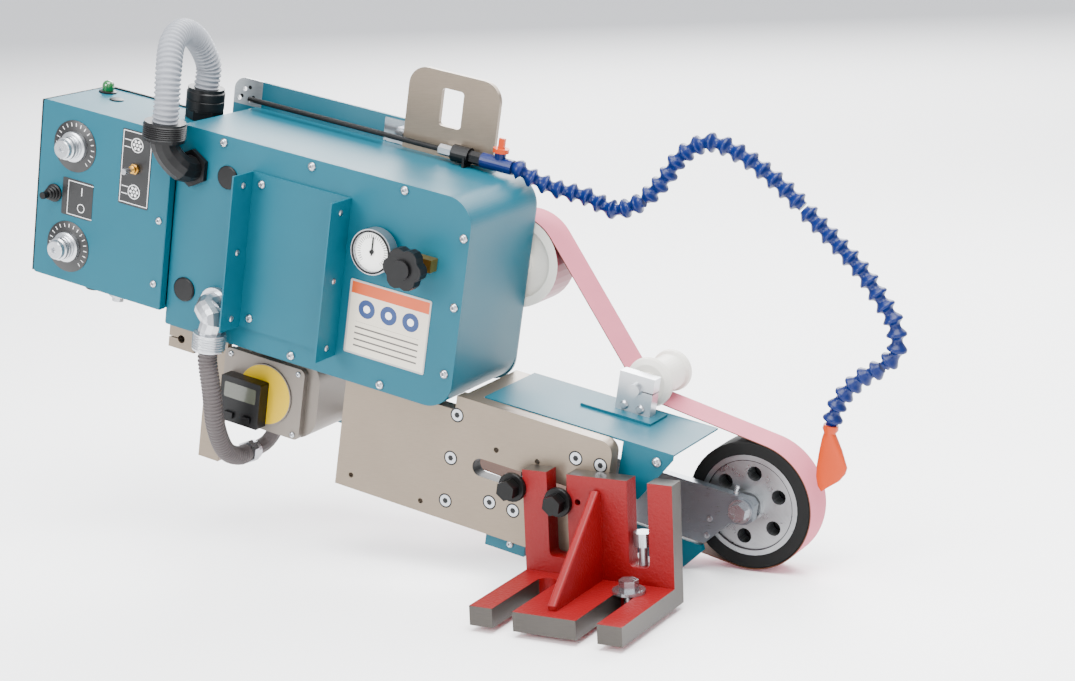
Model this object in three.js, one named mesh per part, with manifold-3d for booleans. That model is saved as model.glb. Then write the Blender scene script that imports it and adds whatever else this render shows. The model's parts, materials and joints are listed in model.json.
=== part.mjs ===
// Lathe-mounted belt grinder: bracket, tilting head, belt train, controls and coolant line.
// Millimetres, +Z up. X runs along the bracket face, Y runs away from the operator.
import * as THREE from 'three';
import { mergeVertices } from 'three/addons/utils/BufferGeometryUtils.js';
import Module from 'manifold-3d';

const wasm = await Module();
wasm.setup();

// Clearance left between neighbouring parts.
const GAP = 0.3;

// Mounting bracket.
const BRACKET = {
  width: 250, height: 189, depth: 206, plate: 30, slotLeft: 58.5, slotRight: 193, slotWidth: 34,
};
const SLOT_FLOOR = 56;

// Tilted machine frame, measured from the side plate's top right corner.
const TILT = THREE.MathUtils.degToRad(11);
const MACHINE_ORIGIN = [141, 0, 234];

// Main frame depths along Y.
const SIDE_PLATE_BACK = 25;
const REAR_PLATE = [182.6, 188];
const BELT_FRONT = 193;
const BELT_WIDTH = 63.5;
const BELT_BACK = BELT_FRONT + BELT_WIDTH;
const BELT_THICKNESS = 1.6;
const BELT_CLEARANCE = 0.4;

// Wheels of the belt train: centre in the machine plane and running radius.
const CONTACT = { u: 156, w: -109, r: 101.6, hub: 81 };
const SPOOL = { u: -36, w: 43, r: 29 };
const IDLER = { u: -300, w: 172, r: 75 };
const DRIVE = { u: -640, w: -112, r: 60 };

// Air gauge and regulator on the cover.
const GAUGE = { u: -426, w: 202 };
const REGULATOR = { u: -353, w: 198 };

// Housing and control box outlines.
const HOUSING = { left: -815, right: -273, bottom: -23, top: 313, corner: 45, front: -20 };
const BOX = { left: -1080, right: -818, bottom: 2, top: 298, front: -35, back: 127 };

// Materials.
const PAINTS = {
  teal: [0x2a8b9e, 0.45, 0.1],
  red: [0xb8232b, 0.6, 0.05],
  beige: [0xbcb3a4, 0.4, 0.7],
  steel: [0xb9bcc0, 0.3, 0.9],
  aluminium: [0xcfd2d6, 0.35, 0.85],
  black: [0x17181a, 0.5, 0.1],
  rubber: [0x1b1b1c, 0.85, 0.0],
  white: [0xecebe4, 0.4, 0.0],
  belt: [0xe1a5af, 0.9, 0.0],
  blue: [0x234b96, 0.25, 0.0],
  orange: [0xff6e1e, 0.4, 0.0],
  brass: [0xb5924c, 0.35, 0.85],
  motor: [0x96918f, 0.5, 0.3],
  conduit: [0xc8c8d0, 0.5, 0.1],
  darkConduit: [0x787073, 0.55, 0.1],
  green: [0x2f9b45, 0.3, 0.0],
};

/** Turn a geometry into a manifold solid. */
function solid(geometry) {
  const plain = geometry.clone();
  plain.deleteAttribute('normal');
  plain.deleteAttribute('uv');
  const merged = mergeVertices(plain.index ? plain.toNonIndexed() : plain, 1e-4);
  return new wasm.Manifold(new wasm.Mesh({
    numProp: 3,
    vertProperties: new Float32Array(merged.attributes.position.array),
    triVerts: new Uint32Array(merged.index.array),
  }));
}

/** Turn a manifold solid back into a geometry. */
function geometryOf(body) {
  const mesh = body.getMesh();
  const geometry = new THREE.BufferGeometry();
  geometry.setAttribute('position', new THREE.BufferAttribute(new Float32Array(mesh.vertProperties), 3));
  geometry.setIndex(new THREE.BufferAttribute(new Uint32Array(mesh.triVerts), 1));
  geometry.computeVertexNormals();
  return geometry;
}

/** Join several geometries into one body. */
function join(...parts) {
  return geometryOf(parts.map(solid).reduce((total, next) => total.add(next)));
}

/** Cut the later geometries out of the first one. */
function cut(base, ...tools) {
  return geometryOf(tools.map(solid).reduce((total, next) => total.subtract(next), solid(base)));
}

/** Box from its limits along X, Y and Z. */
function box(x0, x1, y0, y1, z0, z1) {
  const geometry = new THREE.BoxGeometry(x1 - x0, y1 - y0, z1 - z0);
  return geometry.translate((x0 + x1) / 2, (y0 + y1) / 2, (z0 + z1) / 2);
}

/** Flat plate: an outline in the X-Z plane given a thickness along Y. */
function plate(shape, y0, y1) {
  const options = { depth: y1 - y0, bevelEnabled: false, curveSegments: 8 };
  const geometry = new THREE.ExtrudeGeometry(shape, options);
  return geometry.rotateX(Math.PI / 2).translate(0, y1, 0);
}

/** Rectangle with a radius for each corner, in the order bottom left, bottom right, top right, top left. */
function roundRect(x0, x1, z0, z1, radii) {
  const [a, b, c, d] = radii;
  const shape = new THREE.Shape();
  shape.moveTo(x0 + a, z0);
  shape.lineTo(x1 - b, z0);
  shape.absarc(x1 - b, z0 + b, b, -Math.PI / 2, 0, false);
  shape.lineTo(x1, z1 - c);
  shape.absarc(x1 - c, z1 - c, c, 0, Math.PI / 2, false);
  shape.lineTo(x0 + d, z1);
  shape.absarc(x0 + d, z1 - d, d, Math.PI / 2, Math.PI, false);
  shape.lineTo(x0, z0 + a);
  shape.absarc(x0 + a, z0 + a, a, Math.PI, Math.PI * 1.5, false);
  return shape;
}

/** Shape through a list of points, always wound counterclockwise. */
function outline(points) {
  const corners = points.map(([x, z]) => new THREE.Vector2(x, z));
  return new THREE.Shape(THREE.ShapeUtils.isClockWise(corners) ? corners.reverse() : corners);
}

/** Round hole for a shape. */
function hole(shape, x, z, r) {
  const path = new THREE.Path();
  path.absarc(x, z, r, 0, Math.PI * 2, true);
  shape.holes.push(path);
}

/** Turned body about an axis along Y through (x, z); the profile lists [radius, y] from front to back. */
function turned(x, z, profile, segments = 24) {
  const points = profile.map(([r, y]) => new THREE.Vector2(r, y));
  return new THREE.LatheGeometry(points, segments).translate(x, 0, z);
}

/** Turned ring: the profile closes on itself, off the axis. */
function turnedRing(x, z, profile, segments = 32) {
  return turned(x, z, [...profile, profile[0]], segments);
}

/** Plain cylinder along Y. */
function rod(x, z, r, y0, y1, segments = 20) {
  return turned(x, z, [[0, y0], [r, y0], [r, y1], [0, y1]], segments);
}

/** Plain cylinder along Z. */
function post(x, y, r, z0, z1, segments = 20) {
  const geometry = new THREE.CylinderGeometry(r, r, z1 - z0, segments);
  return geometry.rotateX(Math.PI / 2).translate(x, y, (z0 + z1) / 2);
}

/** Plain cylinder along X. */
function bar(y, z, r, x0, x1, segments = 16) {
  const geometry = new THREE.CylinderGeometry(r, r, x1 - x0, segments);
  return geometry.rotateZ(Math.PI / 2).translate((x0 + x1) / 2, y, z);
}

/** Hose or bent rod: a round section swept along a smooth curve. */
function swept(points, r, steps, sides = 10) {
  const curve = new THREE.CatmullRomCurve3(points.map((p) => new THREE.Vector3(...p)), false, 'centripetal');
  const section = new THREE.Shape();
  for (let i = 0; i < sides; i += 1) {
    const angle = (i / sides) * Math.PI * 2;
    section[i ? 'lineTo' : 'moveTo'](r * Math.cos(angle), r * Math.sin(angle));
  }
  return new THREE.ExtrudeGeometry(section, { extrudePath: curve, steps, bevelEnabled: false });
}

/** Add a named mesh with its own material to a group. */
function add(group, name, paint, geometry) {
  const [color, roughness, metalness] = PAINTS[paint];
  const material = new THREE.MeshStandardMaterial({ color, roughness, metalness });
  const mesh = new THREE.Mesh(geometry, material);
  mesh.name = name;
  group.add(mesh);
  return mesh;
}

/** Closed outline of a belt that runs counterclockwise; turn is +1 for an inner wheel, -1 for an outer one. */
function beltLoop(wheels) {
  const directions = wheels.map((a, i) => {
    const b = wheels[(i + 1) % wheels.length];
    const [du, dw] = [b.u - a.u, b.w - a.w];
    return Math.atan2(dw, du) + Math.asin((a.turn * a.r - b.turn * b.r) / Math.hypot(du, dw));
  });
  const points = [];
  wheels.forEach((wheel, i) => {
    const arrive = directions[(i + wheels.length - 1) % wheels.length];
    let sweep = directions[i] - arrive;
    while (sweep * wheel.turn < 0) sweep += wheel.turn * Math.PI * 2;
    const steps = Math.max(4, Math.round(Math.abs(sweep) / 0.17));
    for (let k = 0; k <= steps; k += 1) {
      const heading = arrive + (sweep * k) / steps;
      const reach = wheel.turn * wheel.r;
      points.push([wheel.u + reach * Math.sin(heading), wheel.w - reach * Math.cos(heading)]);
    }
  });
  return points;
}

/** Flanged hex bolt along Y with its flange seated at yFace, and a nut behind the plate. */
function flangeBolt(x, z, yFace, shankRadius, nutFace) {
  const head = new THREE.CylinderGeometry(16, 16, 20.5, 6).translate(x, yFace - 16, z);
  const body = turned(x, z, [
    [0, yFace - 7], [22, yFace - 7], [23, yFace - 5], [23, yFace], [shankRadius, yFace], [shankRadius, nutFace],
    [17, nutFace], [17, nutFace + 12], [0, nutFace + 12],
  ]);
  return join(body, head);
}

/** Red L-bracket with open slots in both plates and a rounded gusset between them. */
function bracketGeometry() {
  const { width, height, depth, plate: thick, slotLeft, slotRight, slotWidth } = BRACKET;
  const half = slotWidth / 2;
  const upright = new THREE.Shape();
  upright.moveTo(0, 0);
  upright.lineTo(width, 0);
  upright.lineTo(width, height);
  [slotRight, slotLeft].forEach((x) => {
    upright.lineTo(x + half, height);
    upright.lineTo(x + half, SLOT_FLOOR + 8);
    upright.absarc(x + half - 8, SLOT_FLOOR + 8, 8, 0, -Math.PI / 2, true);
    upright.absarc(x - half + 8, SLOT_FLOOR + 8, 8, -Math.PI / 2, -Math.PI, true);
    upright.lineTo(x - half, height);
  });
  upright.lineTo(0, height);
  hole(upright, 93, 147, 5);
  const foot = new THREE.Shape();
  foot.moveTo(0, 0);
  foot.lineTo(0, -depth);
  [slotLeft - 3, slotRight].forEach((x) => {
    foot.lineTo(x - half, -depth);
    foot.lineTo(x - half, -70);
    foot.absarc(x, -70, half, Math.PI, 0, true);
    foot.lineTo(x + half, -depth);
  });
  foot.lineTo(width, -depth);
  foot.lineTo(width, 0);
  const footBody = new THREE.ExtrudeGeometry(foot, { depth: thick, bevelEnabled: false, curveSegments: 8 });
  const web = new THREE.Shape();
  web.moveTo(-thick + 4, thick - 4);
  web.lineTo(-thick + 4, 163);
  web.lineTo(-thick - 6, 166);
  web.lineTo(-180, 37);
  web.lineTo(-178, thick - 4);
  const rib = new THREE.ExtrudeGeometry(web, {
    depth: 6, bevelEnabled: true, bevelSize: 3.5, bevelThickness: 4, bevelSegments: 3, curveSegments: 4,
  });
  rib.applyMatrix4(new THREE.Matrix4().makeBasis(
    new THREE.Vector3(0, 1, 0), new THREE.Vector3(0, 0, 1), new THREE.Vector3(1, 0, 0),
  )).translate(122, 0, 0);
  return join(plate(upright, -thick, 0), footBody, rib);
}

/** Side plate: thick bar with a rounded top corner, the long clamping slot and tapped holes. */
function sidePlateGeometry() {
  const step = HOUSING.right + 0.6;
  const shape = new THREE.Shape();
  shape.moveTo(-473, -207);
  shape.lineTo(0, -207);
  shape.lineTo(0, -20);
  shape.absarc(-20, -20, 20, 0, Math.PI / 2, false);
  shape.lineTo(step, 0);
  shape.lineTo(step, HOUSING.bottom - 0.6);
  shape.lineTo(-473, HOUSING.bottom - 0.6);
  const slot = new THREE.Path();
  slot.absarc(-45, -103, 14.5, Math.PI / 2, -Math.PI / 2, true);
  slot.absarc(-216, -103, 14.5, -Math.PI / 2, -Math.PI * 1.5, true);
  shape.holes.push(slot);
  [[-445, -185], [-314, -189], [-193, -67], [-121, -65]].forEach(([u, w]) => hole(shape, u, w, 4.5));
  return plate(shape, GAP, SIDE_PLATE_BACK);
}

/** Housing shell: open-fronted tray with thick walls and a large radius on its right corners. */
function housingShellGeometry() {
  const { left, right, bottom, top, corner } = HOUSING;
  const ring = roundRect(left, right, bottom, top, [4, corner, corner, 4]);
  ring.holes.push(roundRect(left + 5, right - 5, bottom + 5, top - 5, [2, corner - 5, corner - 5, 2]));
  return plate(ring, HOUSING.front + 4 + GAP, REAR_PLATE[0] - GAP);
}

/** Rear frame plate: follows the housing, rises above it on the left and drops behind the motor. */
function rearPlateGeometry() {
  const { right, bottom, top, corner } = HOUSING;
  const shape = new THREE.Shape();
  shape.moveTo(-853, bottom - 5);
  shape.lineTo(-745, bottom - 5);
  shape.lineTo(-735, -185);
  shape.lineTo(-545, -185);
  shape.lineTo(-535, bottom - 5);
  shape.lineTo(right - corner, bottom - 5);
  shape.absarc(right - corner, bottom - 5 + corner, corner, -Math.PI / 2, 0, false);
  shape.lineTo(right, top - corner);
  shape.absarc(right - corner, top - corner, corner, 0, Math.PI / 2, false);
  shape.lineTo(-352, top);
  shape.lineTo(-362, 357);
  shape.lineTo(-837, 357);
  shape.absarc(-837, 335, 22, Math.PI / 2, Math.PI, false);
  shape.lineTo(-859, bottom + 1);
  [[-838, 339], [-848, 322], [-827, 322]].forEach(([u, w]) => hole(shape, u, w, 4));
  hole(shape, DRIVE.u, DRIVE.w, 12);
  return plate(shape, ...REAR_PLATE);
}

/** Accessory channel: web on the cover with two deep flanges. */
function channelGeometry() {
  const front = HOUSING.front - GAP;
  const web = box(-668, -489, front - 3, front, 12, 269);
  const left = box(-671, -668, front - 55, front, 12, 269);
  const right = box(-489, -486, front - 55, front, 12, 269);
  return join(web, left, right);
}

/** Head guard: top sheet over the slide, with a slanted front cheek. */
function headGuardGeometry() {
  const top = box(-238, 88, 26, 188, -1.5, 1.5);
  const cheek = plate(outline([[4, 1.5], [88, 1.5], [88, -8], [42, -84], [4, -84]]), 26, 29);
  return join(top, cheek);
}

/** Contact arm: slab with a stepped nose that carries the wheel axle. */
function contactArmGeometry() {
  const shape = outline([
    [-110, -88], [168, -88], [176, -96], [176, -122], [168, -130], [140, -136], [104, -181], [-110, -181],
  ]);
  hole(shape, CONTACT.u, CONTACT.w, 10.3);
  hole(shape, -90, -140, 8.6);
  return plate(shape, 166, 182);
}

/** Contact wheel hub with six lightening holes and a recessed web. */
function contactHubGeometry() {
  const { u, w, hub } = CONTACT;
  const body = turnedRing(u, w, [
    [10.6, 188], [24, 188], [24, 197], [hub - 9, 197], [hub - 9, BELT_FRONT + 1], [hub, BELT_FRONT + 1],
    [hub, BELT_BACK - 1], [hub - 9, BELT_BACK - 1], [hub - 9, 226], [24, 226], [24, BELT_BACK], [10.6, BELT_BACK],
  ], 40);
  const holes = [];
  for (let k = 0; k < 6; k += 1) {
    const angle = ((k + 0.5) * Math.PI) / 3;
    holes.push(rod(u + 52 * Math.cos(angle), w + 52 * Math.sin(angle), 12, 190, 240, 14));
  }
  return cut(body, ...holes);
}

/** White guide spool: stepped front ring, narrow waist and flared rear flange. */
function spoolGeometry() {
  const { u, w, r } = SPOOL;
  return turnedRing(u, w, [
    [10.4, 172], [18, 172], [18, 176], [30, 176], [38, 180], [40, 186], [r + 1, 190.5], [r, 192.4],
    [r, BELT_BACK + 1], [r + 4, BELT_BACK + 4], [34, 266], [34, 269], [10.4, 269],
  ], 32);
}

/** Knob with a domed, lobed rim. */
function starKnobGeometry(u, w, r, y0, y1) {
  const shape = new THREE.Shape();
  const lobes = 6;
  for (let k = 0; k < lobes * 4; k += 1) {
    const angle = (k / (lobes * 4)) * Math.PI * 2;
    const reach = r * (k % 4 === 2 ? 0.84 : k % 4 === 0 ? 1 : 0.96);
    shape[k ? 'lineTo' : 'moveTo'](u + reach * Math.cos(angle), w + reach * Math.sin(angle));
  }
  return join(plate(shape, y0, y1), rod(u, w, r * 0.45, y0 - 5, y0 + 1));
}

/** Stepped dial knob along Y with a flat pointer rib. */
function dialKnobGeometry(u, w, face) {
  const body = turned(u, w, [
    [0, face - 34], [16, face - 34], [18, face - 32], [19, face - 12], [26, face - 9], [26, face], [0, face],
  ], 28);
  return join(body, box(u - 1.5, u + 1.5, face - 35, face - 30, w + 2, w + 15));
}

/** Short toggle lever standing out along -Y from its pivot. */
function toggleGeometry(u, w, face, r) {
  return turned(u, w, [
    [0, face - 30], [r, face - 30], [r, face - 25], [r * 0.65, face - 10], [r * 0.65, face], [0, face],
  ], 14);
}

const part = new THREE.Group();
part.name = 'belt_grinder';
part.position.set(-125, 100, 0);

// Bracket and the fasteners that stay with it.
add(part, 'mount_bracket', 'red', bracketGeometry());
const boltX = BRACKET.slotRight;
const boltY = -67;
add(part, 'base_bolt', 'steel', join(
  post(boltX, boltY, 8, 0, 34),
  post(boltX, boltY, 25, BRACKET.plate + GAP, BRACKET.plate + 5, 28),
  post(boltX, boltY, 15, 34, 50, 6),
));
add(part, 'jack_screw', 'steel', join(
  post(boltX, -15, 7, SLOT_FLOOR + GAP, 88),
  post(boltX, -15, 14, 87, 108, 24),
));

// Machine frame, tilted about Y.
const machine = new THREE.Group();
machine.name = 'machine';
machine.position.set(...MACHINE_ORIGIN);
machine.rotation.y = TILT;
part.add(machine);

const BOLT_FACE = -BRACKET.plate - GAP;
add(machine, 'clamp_bolt_outer', 'black', flangeBolt(-141, -103, BOLT_FACE, 8, SIDE_PLATE_BACK + GAP));
add(machine, 'clamp_bolt_inner', 'black', flangeBolt(-61.5, -103, BOLT_FACE, 8, SIDE_PLATE_BACK + GAP));
add(machine, 'side_plate', 'beige', sidePlateGeometry());
add(machine, 'cross_plate', 'beige', box(-268, -241, SIDE_PLATE_BACK + GAP, 182, -14, -1));
add(machine, 'housing_shell', 'teal', housingShellGeometry());
add(machine, 'housing_cover', 'teal', plate(
  roundRect(HOUSING.left, HOUSING.right, HOUSING.bottom, HOUSING.top, [4, HOUSING.corner, HOUSING.corner, 4]),
  HOUSING.front, HOUSING.front + 4,
));

add(machine, 'rear_plate', 'teal', rearPlateGeometry());

const lifting = roundRect(-521, -354, HOUSING.top + GAP, 450, [2, 2, 32, 32]);
const liftingHole = roundRect(-459, -419, 363, 424, [6, 6, 6, 6]);
lifting.holes.push(liftingHole);
add(machine, 'lifting_plate', 'beige', plate(lifting, 174, 182));

// Belt train.
const gapTotal = BELT_CLEARANCE + BELT_THICKNESS;
const train = [
  { ...CONTACT, turn: 1 },
  { ...SPOOL, turn: -1 },
  { ...IDLER, turn: 1 },
  { ...DRIVE, turn: 1 },
];
const grow = (inner, outer) => train.map((wheel) => (
  { ...wheel, r: wheel.r + (wheel.turn > 0 ? inner : outer) }
));
const beltShape = outline(beltLoop(grow(gapTotal, BELT_CLEARANCE)));
beltShape.holes.push(outline(beltLoop(grow(BELT_CLEARANCE, gapTotal))));
add(machine, 'abrasive_belt', 'belt', plate(beltShape, BELT_FRONT, BELT_BACK));

add(machine, 'contact_arm', 'steel', contactArmGeometry());
add(machine, 'contact_axle', 'steel', join(
  rod(CONTACT.u, CONTACT.w, 10, 156, 262),
  new THREE.CylinderGeometry(15, 15, 12, 6).translate(CONTACT.u, 153, CONTACT.w),
  rod(CONTACT.u, CONTACT.w, 19, 158, 165.6, 24),
  rod(CONTACT.u, CONTACT.w, 15, BELT_BACK + 1, 266, 6),
));
add(machine, 'contact_hub', 'aluminium', contactHubGeometry());
add(machine, 'contact_tyre', 'rubber', turnedRing(CONTACT.u, CONTACT.w, [
  [CONTACT.hub + GAP, BELT_FRONT], [CONTACT.r - 1.5, BELT_FRONT], [CONTACT.r, BELT_FRONT + 2],
  [CONTACT.r, BELT_BACK - 2], [CONTACT.r - 1.5, BELT_BACK], [CONTACT.hub + GAP, BELT_BACK],
], 48));
add(machine, 'slide_rod', 'steel', rod(-90, -140, 8, SIDE_PLATE_BACK + GAP, 196));

add(machine, 'guide_spool', 'white', spoolGeometry());
const clampBlock = join(
  box(SPOOL.u - 30, SPOOL.u + 30, 134, 156, SPOOL.w - 20, SPOOL.w + 24),
  box(SPOOL.u - 78, SPOOL.u + 44, 110, 170, 1.5 + GAP, 5.5),
  box(SPOOL.u - 30, SPOOL.u + 30, 134, 156, 4, SPOOL.w - 10),
  rod(SPOOL.u, SPOOL.w, 10, 126, 276),
  rod(SPOOL.u, SPOOL.w, 15, 269.5, 278, 6),
);
const clampSlit = box(SPOOL.u + 12, SPOOL.u + 31, 133, 157, SPOOL.w - 1, SPOOL.w + 1);
add(machine, 'spool_clamp', 'aluminium', cut(clampBlock, clampSlit));

add(machine, 'idler_wheel', 'white', turnedRing(IDLER.u, IDLER.w, [
  [12.4, BELT_FRONT], [26, BELT_FRONT], [26, 202], [60, 202], [60, BELT_FRONT], [IDLER.r, BELT_FRONT],
  [IDLER.r, BELT_BACK], [60, BELT_BACK], [60, 240], [26, 240], [26, BELT_BACK], [12.4, BELT_BACK],
], 40));
const PIVOT = { u: -400, w: 100 };
add(machine, 'tension_post', 'steel', join(
  rod(PIVOT.u, PIVOT.w, 16, REAR_PLATE[1] + GAP, 258),
  rod(PIVOT.u, PIVOT.w, 9, 257, 272),
));
const along = new THREE.Vector2(IDLER.u - PIVOT.u, IDLER.w - PIVOT.w);
const armLength = along.length();
const slab = plate(roundRect(-24, armLength + 20, -20, 20, [19, 19, 19, 19]), 259, 267)
  .rotateY(-along.angle()).translate(PIVOT.u, 0, PIVOT.w);
add(machine, 'tension_arm', 'steel', cut(
  join(slab, rod(IDLER.u, IDLER.w, 12, 194, 260)),
  rod(PIVOT.u, PIVOT.w, 9.4, 250, 275),
));

add(machine, 'drive_wheel', 'aluminium', join(
  turnedRing(DRIVE.u, DRIVE.w, [
    [8, BELT_FRONT], [DRIVE.r, BELT_FRONT], [DRIVE.r, BELT_BACK], [8, BELT_BACK],
  ], 36),
  rod(DRIVE.u, DRIVE.w, 9, 150, 262),
));

// Motor and what hangs below the housing.
const motorBody = plate(roundRect(-727, -553, -177, -38, [40, 40, 40, 40]), 53, 182);
add(machine, 'motor_body', 'motor', cut(motorBody, rod(DRIVE.u, DRIVE.w, 9.6, 140, 190)));
add(machine, 'motor_cover', 'motor', join(
  plate(roundRect(-733, -576, -177, -55, [10, 10, 10, 10]), 41, 52.6),
  rod(-648, -115, 52, 38, 42, 32),
));
add(machine, 'counter_body', 'black', plate(roundRect(-718, -640, -170, -92, [3, 3, 3, 3]), 14, 37.6));
[['counter_button_left', -696], ['counter_button_right', -662]].forEach(([name, u]) => {
  add(machine, name, 'black', box(u - 8, u + 8, 9.5, 12.8, -162, -152));
});
add(machine, 'hanger_plate', 'beige', box(-782, -742, 60, 72, -268, -23.4));
add(machine, 'split_clamp', 'beige', cut(
  box(-836, -784, 24, 110, -78, HOUSING.bottom - 0.4),
  rod(-811, -60, 7, 20, 60),
  box(-837, -811, 23, 111, -61, -59),
));

// Controls on the front of the box.
const boxBody = plate(roundRect(BOX.left, BOX.right, BOX.bottom, BOX.top, [6, 2, 2, 6]), BOX.front, BOX.back);
const boxHollow = box(BOX.left + 5, BOX.right + 1, BOX.front + 5, BOX.back - 4, BOX.bottom + 5, BOX.top - 5);
add(machine, 'control_box', 'teal', cut(boxBody, boxHollow));
const panel = BOX.front - GAP;
add(machine, 'dial_knob_upper', 'aluminium', dialKnobGeometry(-1010, 233, panel - 1));
add(machine, 'dial_knob_lower', 'aluminium', dialKnobGeometry(-1011, 62, panel - 1));
add(machine, 'power_toggle', 'black', toggleGeometry(-1046, 146, panel - 1, 6));
add(machine, 'direction_toggle', 'steel', toggleGeometry(-886, 224, panel - 1, 5));
add(machine, 'pilot_lamp', 'green', post(-1050, 92, 11, BOX.top + GAP, BOX.top + 16));
add(machine, 'box_fitting', 'steel', join(post(-935, 10, 16, -14, 1.6, 6), post(-935, 10, 10, -22, 0)));

// Pneumatics on the main cover.
const cover = HOUSING.front - GAP;
add(machine, 'accessory_channel', 'teal', channelGeometry());
add(machine, 'gauge_case', 'steel', turned(GAUGE.u, GAUGE.w, [
  [0, cover - 22], [31, cover - 22], [31, cover - 27], [36, cover - 27], [36, cover - 6], [12, cover - 4],
  [12, cover], [0, cover],
], 32));
add(machine, 'gauge_needle', 'black', join(
  box(GAUGE.u - 1, GAUGE.u + 1, cover - 24.5, cover - 23.3, GAUGE.w - 6, GAUGE.w + 23),
  rod(GAUGE.u, GAUGE.w, 3.5, cover - 25.5, cover - 22.6, 12),
));
add(machine, 'regulator_body', 'brass', join(
  rod(REGULATOR.u, REGULATOR.w, 12, cover - 34, cover, 6),
  box(REGULATOR.u, REGULATOR.u + 30, cover - 20, cover, REGULATOR.w - 5, REGULATOR.w + 15),
));
const knobFace = cover - 54;
const knobShape = starKnobGeometry(REGULATOR.u, REGULATOR.w, 34, knobFace, cover - 34.6);
add(machine, 'regulator_knob', 'black', knobShape);

// Conduits and their fittings.
add(machine, 'elbow_upper', 'black', join(
  rod(-784, 248, 31, cover - 9, cover, 6),
  swept([
    [-784, cover - 5, 248], [-787, cover - 30, 252], [-804, cover - 42, 272], [-811, cover - 48, 290],
    [-811, cover - 48, 318],
  ], 22, 12, 12),
  post(-811, cover - 48, 33, 294, 324, 24),
));
const upperExit = [-811, cover - 48, 324 + GAP];
add(machine, 'gland_rear', 'black', join(
  post(-851, 91, 31, BOX.top + GAP, BOX.top + 16, 6),
  post(-851, 91, 30, BOX.top + 14, BOX.top + 52, 24),
));
const rearExit = [-851, 91, BOX.top + 52 + GAP];
add(machine, 'conduit_upper', 'conduit', swept([
  upperExit, [-811, cover - 48, 350], [-820, -58, 402], [-838, -30, 438], [-853, 14, 450], [-857, 58, 434],
  [-851, 91, 388], rearExit,
], 21, 30, 12));
add(machine, 'elbow_lower', 'aluminium', join(
  rod(-718, 38, 26, cover - 8, cover, 24),
  swept([
    [-718, cover - 4, 38], [-720, cover - 24, 35], [-697, cover - 36, 21], [-699, cover - 38, 2],
    [-699, cover - 38, -23],
  ], 19, 12, 12),
  post(-699, cover - 38, 26, -28, 0, 20),
));
const lowerExit = [-699, cover - 38, -28 - GAP];
const connector = { u: -687, w: -236, front: 62 };
add(machine, 'conduit_lower', 'darkConduit', swept([
  lowerExit, [-699, cover - 38, -44], [-690, -53, -95], [-687, -34, -165], [-689, 6, -219],
  [connector.u, connector.front - 18, connector.w], [connector.u, connector.front - GAP, connector.w],
], 16, 28, 12));
add(machine, 'motor_connector', 'steel', join(
  rod(connector.u, connector.w, 20, connector.front, connector.front + 12, 6),
  rod(connector.u, connector.w, 17, connector.front + 11, connector.front + 22, 20),
  swept([
    [connector.u, 80, connector.w], [connector.u, 92, connector.w], [-681, 112, -228], [-674, 122, -206],
    [-674, 122, -177.4],
  ], 13, 12, 12),
));

// Coolant line along the top ledge, valve and jointed arm.
const lineY = 158;
const lineW = 330;
add(machine, 'coolant_tube', 'black', bar(lineY, lineW, 4.5, -812, -442, 10));
add(machine, 'coolant_manifold', 'brass', join(
  bar(lineY, lineW, 9, -441.7, -416, 6),
  bar(lineY, lineW, 14, -416.3, -386, 18),
  bar(lineY, lineW, 10.5, -386.3, -364, 6),
  box(-392, -388, lineY - 15, lineY + 7, HOUSING.top + GAP, lineW),
));
add(machine, 'valve_body', 'blue', join(
  bar(lineY, lineW, 12, -363.7, -308, 18),
  post(-333, lineY, 9, lineW + 5, lineW + 19),
));
add(machine, 'valve_handle', 'orange', join(
  post(-333, lineY, 13, lineW + 19 + GAP, lineW + 26),
  box(-338, -328, lineY - 3, lineY + 3, lineW + 25, lineW + 42),
));

const ARM_R = 11.5;
const armA = [
  [-305, lineY, lineW], [-297, lineY, lineW], [-280, 166, 321], [-246, 182, 309], [-195, 201, 303],
  [-146, 205, 293], [-103, 205, 315],
];
const armB = [
  [-96, 205, 324], [-72, 205, 358], [-47, 205, 404], [-6, 205, 433], [45, 205, 427], [113, 205, 398],
  [154, 205, 374],
];
const armC = [
  [163, 205, 367], [214, 205, 334], [265, 205, 299], [299, 205, 267], [330, 205, 232], [340, 205, 191],
  [329, 205, 170],
];
const armD = [[321, 205, 161], [292, 205, 134], [267, 205, 92], [261, 205, 56]];
add(machine, 'coolant_arm_a', 'blue', swept(armA, ARM_R, 18));
add(machine, 'coolant_arm_b', 'blue', swept(armB, ARM_R, 18));
add(machine, 'coolant_arm_c', 'blue', swept(armC, ARM_R, 18));
add(machine, 'coolant_arm_d', 'blue', swept(armD, ARM_R, 10));
const nozzle = outline([[250, 51], [272, 51], [298, -4], [290, -26], [268, -56], [252, -34], [252, 20]]);
add(machine, 'coolant_nozzle', 'orange', plate(nozzle, 196, 214));

// Guards.
add(machine, 'head_guard', 'teal', headGuardGeometry());
add(machine, 'lower_guard', 'teal', join(
  box(-204, -134, SIDE_PLATE_BACK + GAP, 31, -236, -165),
  box(-204, -134, SIDE_PLATE_BACK + GAP, 62, -236, -231),
));
const rearGuard = outline([[-110, -186], [100, -186], [104, -194], [75, -232], [-110, -232]]);
add(machine, 'rear_guard', 'teal', plate(rearGuard, 166, 176));

export default part;
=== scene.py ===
"""Looks of a lathe-mounted belt grinder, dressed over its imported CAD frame."""

import json
import logging
import math
from dataclasses import dataclass, field
from enum import Enum
from typing import Callable, Sequence, Union

import bmesh
import bpy
import numpy as np
from mathutils import Matrix, Vector

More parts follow.
